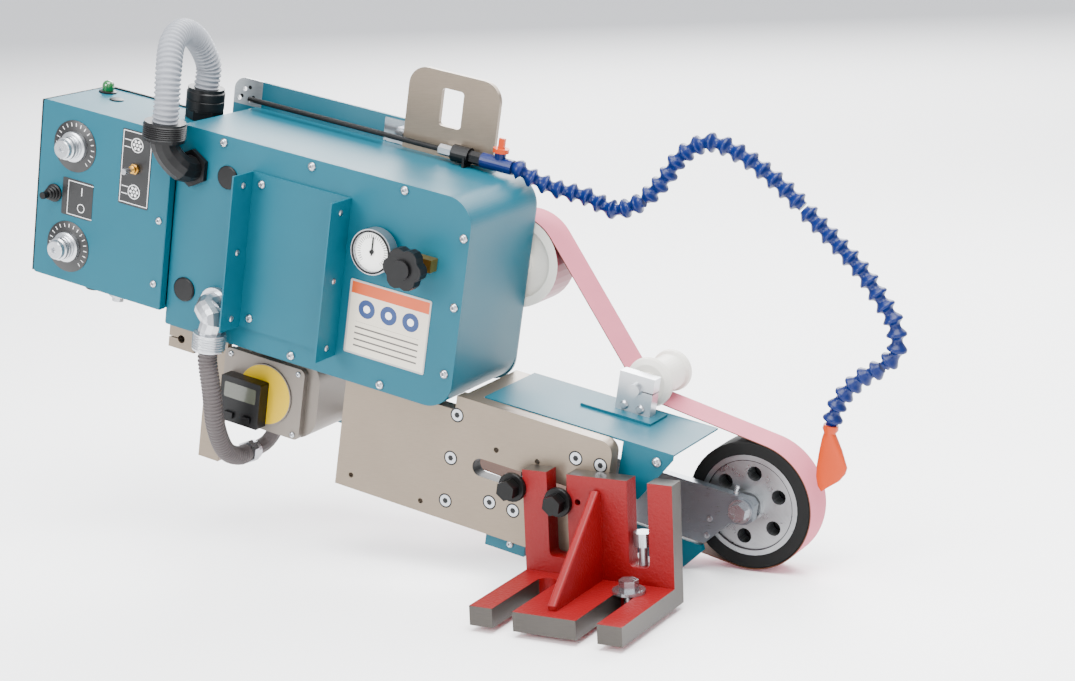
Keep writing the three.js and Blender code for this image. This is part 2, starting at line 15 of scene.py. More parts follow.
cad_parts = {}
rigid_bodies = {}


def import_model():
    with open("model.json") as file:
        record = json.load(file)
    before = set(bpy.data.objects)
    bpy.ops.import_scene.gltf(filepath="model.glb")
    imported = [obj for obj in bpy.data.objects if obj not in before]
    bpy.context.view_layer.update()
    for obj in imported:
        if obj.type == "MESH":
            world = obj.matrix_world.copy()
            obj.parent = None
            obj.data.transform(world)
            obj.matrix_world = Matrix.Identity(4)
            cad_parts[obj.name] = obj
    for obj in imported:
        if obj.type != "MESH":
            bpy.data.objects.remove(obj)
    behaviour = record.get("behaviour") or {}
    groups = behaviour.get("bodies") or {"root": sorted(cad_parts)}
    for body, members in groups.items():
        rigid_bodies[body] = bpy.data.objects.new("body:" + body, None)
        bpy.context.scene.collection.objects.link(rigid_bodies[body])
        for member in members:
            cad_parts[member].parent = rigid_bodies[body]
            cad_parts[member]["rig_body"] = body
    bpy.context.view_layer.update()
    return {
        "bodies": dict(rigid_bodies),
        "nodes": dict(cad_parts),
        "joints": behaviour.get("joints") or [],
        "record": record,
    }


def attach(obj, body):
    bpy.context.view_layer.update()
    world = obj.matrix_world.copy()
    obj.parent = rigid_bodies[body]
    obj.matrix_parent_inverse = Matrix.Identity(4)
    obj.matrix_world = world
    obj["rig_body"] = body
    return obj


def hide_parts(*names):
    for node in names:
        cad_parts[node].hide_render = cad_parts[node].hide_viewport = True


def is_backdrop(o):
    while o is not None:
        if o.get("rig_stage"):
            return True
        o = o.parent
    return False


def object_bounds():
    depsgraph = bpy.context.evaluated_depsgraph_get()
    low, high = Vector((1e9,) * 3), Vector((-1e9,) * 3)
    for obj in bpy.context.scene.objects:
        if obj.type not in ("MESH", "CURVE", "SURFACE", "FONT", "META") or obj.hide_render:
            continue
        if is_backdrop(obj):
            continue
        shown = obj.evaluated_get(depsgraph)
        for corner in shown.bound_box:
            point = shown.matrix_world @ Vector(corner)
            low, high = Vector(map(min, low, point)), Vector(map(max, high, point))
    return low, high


LOG = logging.getLogger("belt_grinder")
Number = Union[int, float]
Point = tuple[float, float, float]
MM = 0.001
PER_METRE = 1000.0
BRUSH: Point = (1.0, 6.0, 22.0)

# Places in the machine frame, in millimetres: y of faces, w of the box's top, u and w of centres, routes.
COVER_Y = -20.0
BOX_Y = -35.0
MARKS_Y = -36.0
KNOB_Y = -36.2
HOSE_Y = 205.0
BOX_TOP = 298.2
SPOOL_U = -36.0
WHEEL = (156.0, -109.0)
IDLER = (-300.0, 172.0)
GAUGE = (-426.0, 202.0)
TOGGLE = (-886.0, 224.0)
LAMP = (-1050.0, 92.0)
DIALS = (("upper", -1010.0, 233.0), ("lower", -1011.0, 62.0))
UPPER_ROUTE: tuple[Point, ...] = (
    (-811, -68.3, 324.3), (-811, -68.3, 350), (-820, -58, 402), (-838, -30, 438), (-853, 14, 450),
    (-857, 58, 434), (-851, 91, 388), (-851, 91, 350.3),
)
LOWER_ROUTE: tuple[Point, ...] = (
    (-699, -58.3, -28.3), (-699, -58.3, -44), (-690, -53, -95), (-687, -34, -165), (-689, 6, -219),
    (-687, 44, -236), (-687, 61.7, -236),
)
TUBE_ROUTE: tuple[Point, ...] = (
    (-812.0, 158.0, 330.0), (-690.0, 158.0, 330.0), (-566.0, 158.0, 330.0), (-442.0, 158.0, 330.0),
)


class Grain(Enum):
    """Surface structure of a finish."""

    PLAIN = "plain"
    BRUSHED = "brushed"
    PEBBLED = "pebbled"
    CLOTH = "cloth"


class Side(Enum):
    """Which way a screw or plate faces in the machine frame."""

    FRONT = "front"
    TOP = "top"
    RIGHT = "right"


@dataclass(frozen=True)
class MachineFrame:
    """Tilted frame of the head: u along the side plate, y away from the operator, w upwards."""

    origin: Point = (16.0, 100.0, 234.0)
    tilt: float = math.radians(11.0)

    def place(self, points: np.ndarray) -> np.ndarray:
        """Carry machine-frame millimetres into row-frame metres.

        Args:
            points: array whose last axis holds u, y, w in millimetres.

        Returns:
            The same array in metres in the row frame.
        """
        points = np.asarray(points, float)
        cos, sin = math.cos(self.tilt), math.sin(self.tilt)
        u, y, w = points[..., 0], points[..., 1], points[..., 2]
        ox, oy, oz = self.origin
        return np.stack([ox + u * cos + w * sin, oy + y, oz - u * sin + w * cos], -1) * MM

    def recover(self, points: np.ndarray, free: bool = False) -> np.ndarray:
        """Carry row-frame metres back into machine-frame millimetres.

        Args:
            points: array whose last axis holds x, y, z in metres.
            free: the points are directions, which keep their length and don't shift.

        Returns:
            The same array as u, y, w.
        """
        shifted = points if free else points / MM - np.array(self.origin)
        cos, sin = math.cos(self.tilt), math.sin(self.tilt)
        x, y, z = shifted[..., 0], shifted[..., 1], shifted[..., 2]
        return np.stack([x * cos - z * sin, y, x * sin + z * cos], -1)


HEAD = MachineFrame()


class Wire:
    """A shader socket with arithmetic, so that maths reads as maths."""

    def __init__(self, tree: bpy.types.NodeTree, socket: bpy.types.NodeSocket) -> None:
        """Keep the tree and the output socket.

        Args:
            tree: node tree that owns the socket.
            socket: output socket that carries the value.
        """
        self.tree = tree
        self.socket = socket

    def math(self, operation: str, *others: Union["Wire", Number]) -> "Wire":
        """Add one Math node.

        Args:
            operation: Math node operation.
            others: remaining operands.

        Returns:
            The result.
        """
        node = self.tree.nodes.new("ShaderNodeMath")
        node.operation = operation
        for index, value in enumerate((self, *others)):
            if isinstance(value, Wire):
                self.tree.links.new(value.socket, node.inputs[index])
            else:
                node.inputs[index].default_value = value
        return Wire(self.tree, node.outputs[0])

    def __add__(self, other: Union["Wire", Number]) -> "Wire":
        """Sum. Args: other, the second term. Returns: the result."""
        return self.math("ADD", other)

    def __sub__(self, other: Union["Wire", Number]) -> "Wire":
        """Difference. Args: other, what is taken away. Returns: the result."""
        return self.math("SUBTRACT", other)

    def __mul__(self, other: Union["Wire", Number]) -> "Wire":
        """Product. Args: other, the second factor. Returns: the result."""
        return self.math("MULTIPLY", other)

    def __truediv__(self, other: Union["Wire", Number]) -> "Wire":
        """Quotient. Args: other, the divisor. Returns: the result."""
        return self.math("DIVIDE", other)

    def below(self, limit: Number) -> "Wire":
        """Mask of what is below a limit. Args: limit, the threshold. Returns: 0 or 1."""
        return self.math("LESS_THAN", limit)

    def above(self, limit: Number) -> "Wire":
        """Mask of what is above a limit. Args: limit, the threshold. Returns: 0 or 1."""
        return self.math("GREATER_THAN", limit)

    def within(self, low: Number, high: Number) -> "Wire":
        """Mask of a band. Args: low and high, its limits. Returns: 0 or 1."""
        return self.above(low) * self.below(high)


@dataclass
class MaterialBuilder:
    """One node material with the helpers that its finish needs."""

    name: str
    material: bpy.types.Material = field(init=False)
    tree: bpy.types.NodeTree = field(init=False)
    shader: bpy.types.Node = field(init=False)

    def __post_init__(self) -> None:
        """Create the material and find its main shader.

        Returns:
            Nothing.
        """
        self.material = bpy.data.materials.new(self.name)
        self.material.use_nodes = True
        self.tree = self.material.node_tree
        self.shader = self.tree.nodes["Principled BSDF"]

    def node(self, kind: str, **settings: object) -> bpy.types.Node:
        """Create any node.

        Args:
            kind: node type name.
            settings: attributes to set on it.

        Returns:
            The node.
        """
        node = self.tree.nodes.new(kind)
        for key, value in settings.items():
            setattr(node, key, value)
        return node

    def coords(self) -> bpy.types.NodeSocket:
        """Object coordinates in metres.

        Returns:
            The vector socket.
        """
        return self.node("ShaderNodeTexCoord").outputs["Object"]

    def noise(self, scale: float, stretch: Point = (1, 1, 1), detail: float = 3.0) -> Wire:
        """Noise over the object.

        Args:
            scale: features per metre, roughly.
            stretch: factor along each axis.
            detail: octaves.

        Returns:
            Noise between 0 and 1.
        """
        mapping = self.node("ShaderNodeVectorMath", operation="MULTIPLY")
        mapping.inputs[1].default_value = stretch
        self.tree.links.new(self.coords(), mapping.inputs[0])
        texture = self.node("ShaderNodeTexNoise")
        texture.inputs["Scale"].default_value = scale
        texture.inputs["Detail"].default_value = detail
        self.tree.links.new(mapping.outputs[0], texture.inputs["Vector"])
        return Wire(self.tree, texture.outputs["Fac"])

    def local(self, centre: Point) -> tuple[Wire, Wire]:
        """Position on a front plate, in millimetres from its centre.

        Args:
            centre: plate centre in the machine frame, in millimetres.

        Returns:
            The distance to the right and the distance up.
        """
        split = self.node("ShaderNodeSeparateXYZ")
        self.tree.links.new(self.coords(), split.inputs[0])
        x, z = Wire(self.tree, split.outputs[0]), Wire(self.tree, split.outputs[2])
        cx, _, cz = (float(v) for v in HEAD.place(np.array(centre)))
        x, z = (x - cx) * PER_METRE, (z - cz) * PER_METRE
        cos, sin = math.cos(HEAD.tilt), math.sin(HEAD.tilt)
        return x * cos - z * sin, x * sin + z * cos

    def mix(self, factor: Wire, first: object, second: object) -> bpy.types.NodeSocket:
        """Mix two colours.

        Args:
            factor: 0 for the first, 1 for the second.
            first: colour triple or socket.
            second: colour triple or socket.

        Returns:
            The colour socket.
        """
        node = self.node("ShaderNodeMix", data_type="RGBA")
        self.tree.links.new(factor.socket, node.inputs[0])
        for index, value in ((6, first), (7, second)):
            if isinstance(value, bpy.types.NodeSocket):
                self.tree.links.new(value, node.inputs[index])
            else:
                node.inputs[index].default_value = (*value, 1.0)
        return node.outputs[2]

    def feed(self, name: str, value: object) -> None:
        """Drive one shader input.

        Args:
            name: input name.
            value: a Wire, a socket or a constant.

        Returns:
            Nothing.
        """
        if isinstance(value, Wire):
            value = value.socket
        if isinstance(value, bpy.types.NodeSocket):
            self.tree.links.new(value, self.shader.inputs[name])
        else:
            self.shader.inputs[name].default_value = value

    def bump(self, height: Wire, distance: float, strength: float = 1.0) -> None:
        """Bump the surface.

        Args:
            height: height field.
            distance: depth in metres.
            strength: how much of it shows.

        Returns:
            Nothing.
        """
        node = self.node("ShaderNodeBump")
        node.inputs["Distance"].default_value = distance
        node.inputs["Strength"].default_value = strength
        self.tree.links.new(height.socket, node.inputs["Height"])
        self.feed("Normal", node.outputs[0])


def linear(red: int, green: int, blue: int) -> Point:
    """Display colour to linear light.

    Args:
        red: 0 to 255.
        green: 0 to 255.
        blue: 0 to 255.

    Returns:
        Linear triple.
    """
    values = np.array([red, green, blue]) / 255.0
    out = np.where(values <= 0.04045, values / 12.92, ((values + 0.055) / 1.055) ** 2.4)
    return tuple(float(v) for v in out)


@dataclass(frozen=True)
class Finish:
    """One procedural finish: colour, gloss and grain."""

    name: str
    color: Point
    roughness: float = 0.45
    metallic: float = 0.0
    grain: Grain = Grain.PLAIN
    coat: float = 0.0
    variation: float = 0.08

    def build(self) -> bpy.types.Material:
        """Build the material.

        Returns:
            The material.
        """
        kit = MaterialBuilder(self.name)
        darker = tuple(v * (1.0 - 2.2 * self.variation) for v in self.color)
        lighter = tuple(min(1.0, v * (1.0 + self.variation)) for v in self.color)
        broad = kit.noise(9.0, detail=4.0)
        kit.feed("Metallic", self.metallic)
        kit.feed("Coat Weight", self.coat)
        kit.feed("Specular IOR Level", 0.5 if self.metallic > 0.5 or self.coat else 0.25)
        if self.grain is Grain.BRUSHED:
            fine = kit.noise(60.0, stretch=BRUSH, detail=5.0)
            kit.feed("Base Color", kit.mix(fine * 0.6 + broad * 0.4, darker, lighter))
            kit.feed("Roughness", fine * 0.22 + (self.roughness - 0.1))
            kit.bump(fine, 0.00012, 0.35)
        elif self.grain is Grain.PEBBLED:
            fine = kit.noise(280.0, detail=2.0)
            kit.feed("Base Color", kit.mix(broad, darker, lighter))
            kit.feed("Roughness", fine * 0.15 + (self.roughness - 0.08))
            kit.bump(fine, 0.0009, 0.6)
        elif self.grain is Grain.CLOTH:
            fine = kit.noise(900.0, detail=2.0)
            bands = kit.noise(26.0, stretch=(1.0, 0.25, 1.0))
            kit.feed("Base Color", kit.mix(fine * 0.5 + bands * 0.5, darker, lighter))
            kit.feed("Roughness", self.roughness)
            kit.bump(fine, 0.0004, 0.5)
        else:
            fine = kit.noise(160.0, detail=2.0)
            kit.feed("Base Color", kit.mix(broad, darker, lighter))
            kit.feed("Roughness", broad * 0.12 + (self.roughness - 0.06))
            kit.bump(fine, 0.00006, 0.4)
        return kit.material


@dataclass(frozen=True)
class Palette:
    """All finishes, one for each material slot of the record and a few for added pieces."""

    teal: Finish = Finish("teal_paint", linear(0, 76, 92), 0.46, variation=0.05)
    red: Finish = Finish("red_enamel", linear(112, 5, 10), 0.45, 0.0, Grain.PEBBLED)
    plate: Finish = Finish("ground_plate", linear(122, 110, 96), 0.34, 0.7, Grain.BRUSHED, variation=0.15)
    steel: Finish = Finish("zinc_steel", linear(170, 172, 176), 0.28, 0.95)
    blackened: Finish = Finish("black_oxide", linear(10, 10, 10), 0.42, 0.3)
    aluminium: Finish = Finish("turned_aluminium", linear(186, 189, 193), 0.28, 0.95)
    black: Finish = Finish("black_plastic", linear(5, 5, 6), 0.42)
    rubber: Finish = Finish("black_rubber", linear(4, 4, 4), 0.7, variation=0.2)
    white: Finish = Finish("white_plastic", linear(214, 211, 202), 0.35, variation=0.03)
    belt: Finish = Finish("pink_abrasive", linear(188, 104, 120), 0.85, 0.0, Grain.CLOTH, variation=0.08)
    backing: Finish = Finish("belt_backing", linear(88, 54, 38), 0.8, 0.0, Grain.CLOTH, variation=0.15)
    drum: Finish = Finish("drum_rim", linear(120, 34, 50), 0.35, 0.2)
    blue: Finish = Finish("blue_plastic", linear(2, 22, 76), 0.34, variation=0.04)
    orange: Finish = Finish("orange_plastic", linear(172, 54, 0), 0.42, variation=0.04)
    brass: Finish = Finish("brass", linear(176, 134, 62), 0.3, 0.95)
    motor: Finish = Finish("motor_grey", linear(112, 105, 98), 0.4, 0.35)
    conduit: Finish = Finish("pale_conduit", linear(124, 127, 133), 0.4)
    dark_conduit: Finish = Finish("dark_conduit", linear(74, 68, 68), 0.5)
    green: Finish = Finish("green_lens", linear(2, 84, 30), 0.15, coat=0.8)
    yellow: Finish = Finish("yellow_paint", linear(184, 152, 2), 0.4, variation=0.04)
    display: Finish = Finish("display_glass", linear(66, 68, 58), 0.25, coat=0.4)
    milled: Finish = Finish("milled_steel", linear(70, 66, 62), 0.4, 0.7, Grain.BRUSHED, variation=0.24)
    arm: Finish = Finish("ground_arm", linear(122, 128, 134), 0.3, 0.8, Grain.BRUSHED, variation=0.1)


@dataclass
class Surface:
    """Vertices and faces gathered from parametric grids, in machine-frame millimetres."""

    points: list[np.ndarray] = field(default_factory=list)
    faces: list[tuple[int, ...]] = field(default_factory=list)
    slots: list[int] = field(default_factory=list)
    count: int = 0

    def grid(self, rows: np.ndarray, wrap_rows: bool = False, slots: Sequence[int] = ()) -> None:
        """Add a grid that closes round its second axis; open row ends are capped with a fan.

        Args:
            rows: array of shape (rows, around, 3).
            wrap_rows: join the last row back to the first.
            slots: material slot for each strip around; all 0 if empty.

        Returns:
            Nothing.
        """
        n, m, _ = rows.shape
        base = self.count
        self.points.append(rows.reshape(-1, 3))
        self.count += n * m
        for i in range(n if wrap_rows else n - 1):
            a, b = base + i * m, base + ((i + 1) % n) * m
            for j in range(m):
                k = (j + 1) % m
                self.faces.append((a + j, a + k, b + k, b + j))
                self.slots.append(slots[j] if len(slots) else 0)
        if not wrap_rows:
            self.faces.append(tuple(base + j for j in reversed(range(m))))
            self.faces.append(tuple(base + (n - 1) * m + j for j in range(m)))
            self.slots.extend([0, 0])

    def revolve(self, centre: Point, axis: Side, profile: Sequence[tuple[float, float]],
                around: int = 32, hexed: Sequence[int] = ()) -> None:
        """Add a turned body: radius and height along the outward axis, turned through a full circle.

        Args:
            centre: foot of the axis.
            axis: direction the body stands out in.
            profile: radius and height pairs from foot to crown.
            around: points round the circle.
            hexed: indexes of profile rows that follow a hexagon instead of a circle.

        Returns:
            Nothing.
        """
        angle = np.arange(around) * 2.0 * math.pi / around
        rows = []
        for index, (radius, height) in enumerate(profile):
            reach = np.full(around, max(radius, 0.01))
            if index in hexed:
                reach = reach * math.cos(math.pi / 6) / np.cos(np.mod(angle, math.pi / 3) - math.pi / 6)
            a, b = reach * np.cos(angle), reach * np.sin(angle)
            if axis is Side.FRONT:
                rows.append(np.stack([a, np.full(around, -height), b], -1))
            elif axis is Side.RIGHT:
                rows.append(np.stack([np.full(around, height), a, b], -1))
            else:
                rows.append(np.stack([a, b, np.full(around, height)], -1))
        self.grid(np.array(rows) + np.array(centre))

    def sweep(self, path: np.ndarray, radii: np.ndarray, around: int = 16) -> None:
        """Add a round body swept along a path, its radius varying from point to point.

        Args:
            path: centreline points.
            radii: radius at each of them.
            around: points round the section.

        Returns:
            Nothing.
        """
        tangent = np.gradient(path, axis=0)
        tangent /= np.linalg.norm(tangent, axis=1, keepdims=True)
        seed = np.array([0.0, 1.0, 0.0]) if abs(tangent[0][1]) < 0.8 else np.array([1.0, 0.0, 0.0])
        normals = []
        for direction in tangent:
            seed = seed - direction * float(seed @ direction)
            seed = seed / np.linalg.norm(seed)
            normals.append(seed)
        normal = np.array(normals)
        binormal = np.cross(tangent, normal)
        angle = np.arange(around) * 2.0 * math.pi / around
        ring = normal[:, None, :] * np.cos(angle)[None, :, None]
        ring = ring + binormal[:, None, :] * np.sin(angle)[None, :, None]
        self.grid(path[:, None, :] + ring * radii[:, None, None])

    def slab(self, u: tuple[float, float], y: tuple[float, float], w: tuple[float, float],
             radius: float = 3.0) -> None:
        """Add a front plate with rounded corners.

        Args:
            u: left and right limits.
            y: front and back limits.
            w: lower and upper limits.
            radius: corner radius.

        Returns:
            Nothing.
        """
        turn = np.linspace(0.0, math.pi / 2, 6)
        corners = ((u[1], w[1], 0), (u[0], w[1], 1), (u[0], w[0], 2), (u[1], w[0], 3))
        ring = []
        for cu, cw, quarter in corners:
            inner_u = cu - radius * (1 if quarter in (0, 3) else -1)
            inner_w = cw - radius * (1 if quarter in (0, 1) else -1)
            heading = turn + quarter * math.pi / 2
            arc_u, arc_w = inner_u + radius * np.cos(heading), inner_w + radius * np.sin(heading)
            ring.append(np.stack([arc_u, arc_w], -1))
        loop = np.concatenate(ring)
        rows = [np.stack([loop[:, 0], np.full(len(loop), depth), loop[:, 1]], -1)
                for depth in (y[1], y[0])]
        self.grid(np.array(rows))

    def emit(self, name: str, body: str, materials: Sequence[bpy.types.Material],
             smooth: float = 35.0) -> bpy.types.Object:
        """Make the object, in row-frame metres, and let it ride on a body.

        Args:
            name: object name.
            body: CAD body it moves with.
            materials: material slots.
            smooth: edges sharper than this many degrees stay sharp.

        Returns:
            The object.
        """
        mesh = bpy.data.meshes.new(name)
        mesh.from_pydata(HEAD.place(np.concatenate(self.points)).tolist(), [], self.faces)
        for material in materials:
            mesh.materials.append(material)
        mesh.polygons.foreach_set("material_index", self.slots)
        mesh.update()
        mesh.shade_smooth()
        mesh.set_sharp_from_angle(angle=math.radians(smooth))
        obj = bpy.data.objects.new(name, mesh)
        bpy.context.scene.collection.objects.link(obj)
        outward(mesh)
        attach(obj, body)
        LOG.info("piece %s: %d faces on %s", name, len(self.faces), body)
        return obj


def turned(name: str, body: str, material: bpy.types.Material, *parts: tuple) -> bpy.types.Object:
    """Make one piece out of turned bodies.

    Args:
        name: piece name.
        body: CAD body it moves with.
        material: its finish.
        parts: for each turned body, what Surface.revolve takes.

    Returns:
        The object.
    """
    surface = Surface()
    for part in parts:
        surface.revolve(*part)
    return surface.emit(name, body, [material])


def outward(mesh: bpy.types.Mesh) -> None:
    """Turn all faces of a mesh outwards.

    Args:
        mesh: the mesh.

    Returns:
        Nothing.
    """
    work = bmesh.new()
    work.from_mesh(mesh)
    bmesh.ops.recalc_face_normals(work, faces=work.faces)
    work.to_mesh(mesh)
    work.free()


def centripetal(points: Sequence[Point], per_span: int = 24) -> np.ndarray:
    """Centripetal Catmull-Rom curve: each span blends lines between four neighbours.

    The neighbours are spaced by the root of their distance, which keeps the curve free of loops.

    Args:
        points: control points.
        per_span: samples in each span.

    Returns:
        Points along the curve.
    """
    p = np.array(points, float)
    p = np.vstack([2 * p[0] - p[1], p, 2 * p[-1] - p[-2]])
    out = []
    for i in range(len(p) - 3):
        q = p[i:i + 4]
        t = np.concatenate([[0.0], np.cumsum(np.sqrt(np.linalg.norm(np.diff(q, axis=0), axis=1)))])
        s = np.linspace(t[1], t[2], per_span, endpoint=False)[:, None]
        share = [(s - t[k]) / (t[k + 1] - t[k]) for k in range(3)]
        a = [(1 - share[k]) * q[k] + share[k] * q[k + 1] for k in range(3)]
        share = [(s - t[k]) / (t[k + 2] - t[k]) for k in range(2)]
        b = [(1 - share[k]) * a[k] + share[k] * a[k + 1] for k in range(2)]
        out.append((t[2] - s) / (t[2] - t[1]) * b[0] + (s - t[1]) / (t[2] - t[1]) * b[1])
    return np.vstack([*out, p[-2:-1]])


def even(path: np.ndarray, count: int) -> np.ndarray:
    """Resample a path at equal steps.

    Args:
        path: points along it.
        count: how many points to return.

    Returns:
        The resampled points.
    """
    gone = np.concatenate([[0.0], np.cumsum(np.linalg.norm(np.diff(path, axis=0), axis=1))])
    want = np.linspace(0.0, gone[-1], count)
    return np.stack([np.interp(want, gone, path[:, k]) for k in range(3)], -1)


def path_length(path: np.ndarray) -> float:
    """Length of a path.

    Args:
        path: points along it.

    Returns:
        Its length.
    """
    return float(np.linalg.norm(np.diff(path, axis=0), axis=1).sum())


@dataclass
class FramePaint:
    """Finishes and soft edges for the CAD nodes that stay visible."""

    palette: Palette
    bevel: float = 0.0007
    smooth_below: float = math.radians(32.0)
    bevel_above: float = math.radians(40.0)
    # Box of the side plate's slot as left, right, middle and half height: its walls get painted shade.
    slot: tuple[float, float, float, float] = (-236.0, -25.0, -103.0, 26.0)
    clamp_paint_top: float = 5.7
    manifold_end: float = -416.5
    boot_start: float = 84.5
    rim_start: float = 70.0

    def dress(self, frame: dict) -> dict[str, bpy.types.Material]:
        """Give each CAD node the finish of its material slot.


        Returns:
            Materials by slot name.
        """
        made: dict[str, bpy.types.Material] = {}
        slots = {entry["node"]: entry["material_slot"] for entry in frame["record"]["subparts"]}
        for node, obj in frame["nodes"].items():
            slot = slots[node]
            if slot not in made:
                made[slot] = getattr(self.palette, slot).build()
            obj.data.materials.clear()
            obj.data.materials.append(made[slot])
            obj.data.shade_smooth()
            obj.data.set_sharp_from_angle(angle=self.smooth_below)
            soft = obj.modifiers.new("soft_edges", "BEVEL")
            soft.width = self.bevel
            soft.segments = 2
            soft.limit_method = "ANGLE"
            soft.angle_limit = self.bevel_above
            soft.harden_normals = False
        self.accents(frame["nodes"], made)
        LOG.info("painted %d nodes with %d finishes", len(slots), len(made))
        return made

    def repaint(self, obj: bpy.types.Object, material: bpy.types.Material,
                rule: Callable[[np.ndarray, np.ndarray], np.ndarray]) -> None:
        """Give a second finish to the faces that a rule picks.

        Args:
            obj: CAD node.
            material: second finish.
            rule: takes face centres and normals in the machine frame, and returns a mask.

        Returns:
            Nothing.
        """
        faces = obj.data.polygons
        centres, normals = np.empty(len(faces) * 3), np.empty(len(faces) * 3)
        faces.foreach_get("center", centres)
        faces.foreach_get("normal", normals)
        mask = rule(HEAD.recover(centres.reshape(-1, 3)), HEAD.recover(normals.reshape(-1, 3), free=True))
        obj.data.materials.append(material)
        faces.foreach_set("material_index", mask.astype(int))
        obj.data.update()

    def accents(self, nodes: dict[str, bpy.types.Object], made: dict[str, bpy.types.Material]) -> None:
        """Paint the bare edges, the painted shade on the side plate's slot walls, and the mixed fittings.

        Args:
            nodes: CAD nodes by name.
            made: materials by slot name.

        Returns:
            Nothing.
        """
        milled, arm = self.palette.milled.build(), self.palette.arm.build()
        nodes["contact_arm"].data.materials[0] = arm
        # The side plate's slot walls get the black finish: painted shade, for the dark inside of the slot.
        left, right, middle, half = self.slot
        self.repaint(nodes["side_plate"], made["blackened"], lambda c, n: (np.abs(n[:, 1]) < 0.5)
                     & (c[:, 0] > left) & (c[:, 0] < right) & (np.abs(c[:, 2] - middle) < half))
        self.repaint(nodes["spool_clamp"], made["teal"], lambda c, n: c[:, 2] < self.clamp_paint_top)
        self.repaint(nodes["coolant_manifold"], made["black"], lambda c, n: c[:, 0] > self.manifold_end)
        nodes["coolant_manifold"].data.materials[0] = made["steel"]
        self.repaint(nodes["motor_connector"], made["dark_conduit"],
                     lambda c, n: c[:, 1] > self.boot_start)
        self.repaint(nodes["idler_wheel"], self.palette.drum.build(), lambda c, n: (np.abs(n[:, 1]) < 0.3)
                     & (np.hypot(c[:, 0] - IDLER[0], c[:, 2] - IDLER[1]) > self.rim_start))
        self.repaint(nodes["mount_bracket"], milled, self.bare_edges)
        nodes["rear_plate"].data.materials[0] = self.masked_plate()
        nodes["contact_hub"].data.materials[0] = self.turned_hub()

    def bare_edges(self, centres: np.ndarray, normals: np.ndarray) -> np.ndarray:
        """Milled faces of the bracket: tops, front ends of the feet and right-hand edges.

        Args:
            centres: face centres in the machine frame.
            normals: face normals in the machine frame.

        Returns:
            Mask of the bare faces.
        """
        place, facing = HEAD.place(centres) / MM, HEAD.place(normals) / MM - HEAD.place(np.zeros(3)) / MM
        square, wall_top, foot_front, wall_side, foot_top, foot_back = 0.9, 186, -100, 123.5, 30, 66
        tops = (facing[:, 2] > square) & (place[:, 2] > wall_top)
        ends = (facing[:, 1] < -square) & (place[:, 1] < foot_front)
        on_side = (place[:, 0] > wall_side) | ((place[:, 2] < foot_top) & (place[:, 1] < foot_back))
        right = (facing[:, 0] > square) & on_side
        return tops | ends | right

    def masked_plate(self) -> bpy.types.Material:
        """Painted plate with a bare left end and three holes in it, drawn as dark discs of painted shade.

        Returns:
            The material.
        """
        kit = MaterialBuilder("rear_plate_paint")
        u, w = kit.local((0.0, 0.0, 0.0))
        bare_end, bare_foot, hole_radius = -803.0, 312.0, 3.4
        bare = u.below(bare_end) * w.above(bare_foot)
        grain = kit.noise(60.0, stretch=BRUSH, detail=5.0)
        metal = kit.mix(grain, linear(120, 122, 124), linear(176, 178, 180))
        color = kit.mix(bare, self.palette.teal.color, metal)
        # The three holes are painted shade: dark discs mixed into the colour.
        for hu, hw in ((-843.0, 326.0), (-828.0, 343.0), (-820.0, 327.0)):
            hole_shade = ((u - hu) * (u - hu) + (w - hw) * (w - hw)).math("SQRT").below(hole_radius)
            color = kit.mix(hole_shade, color, linear(20, 20, 22))
        kit.feed("Base Color", color)
        kit.feed("Metallic", bare * 0.8)
        kit.feed("Roughness", 0.46)
        return kit.material

    def turned_hub(self) -> bpy.types.Material:
        """Turned face of the contact hub: fine rings round its axis, and a dark band painted as shade in
        its ring groove.

        Returns:
            The material.
        """
        kit = MaterialBuilder("turned_hub")
        a, b = kit.local((WHEEL[0], 0.0, WHEEL[1]))
        radius = (a * a + b * b).math("SQRT")
        rings = (radius * 3.1).math("SINE") * 0.5 + 0.5
        grain = kit.noise(30.0, detail=4.0)
        # Ring groove: a dark band of painted shade.
        groove_shade = radius.within(71.5, 73.0)
        color = kit.mix(rings * 0.4 + grain * 0.6, linear(128, 130, 133), linear(186, 188, 190))
        kit.feed("Base Color", kit.mix(groove_shade, color, linear(60, 60, 62)))
        kit.feed("Metallic", 0.9)
        kit.feed("Roughness", grain * 0.15 + 0.22)
        kit.bump(rings, 0.0001, 0.5)
        return kit.material


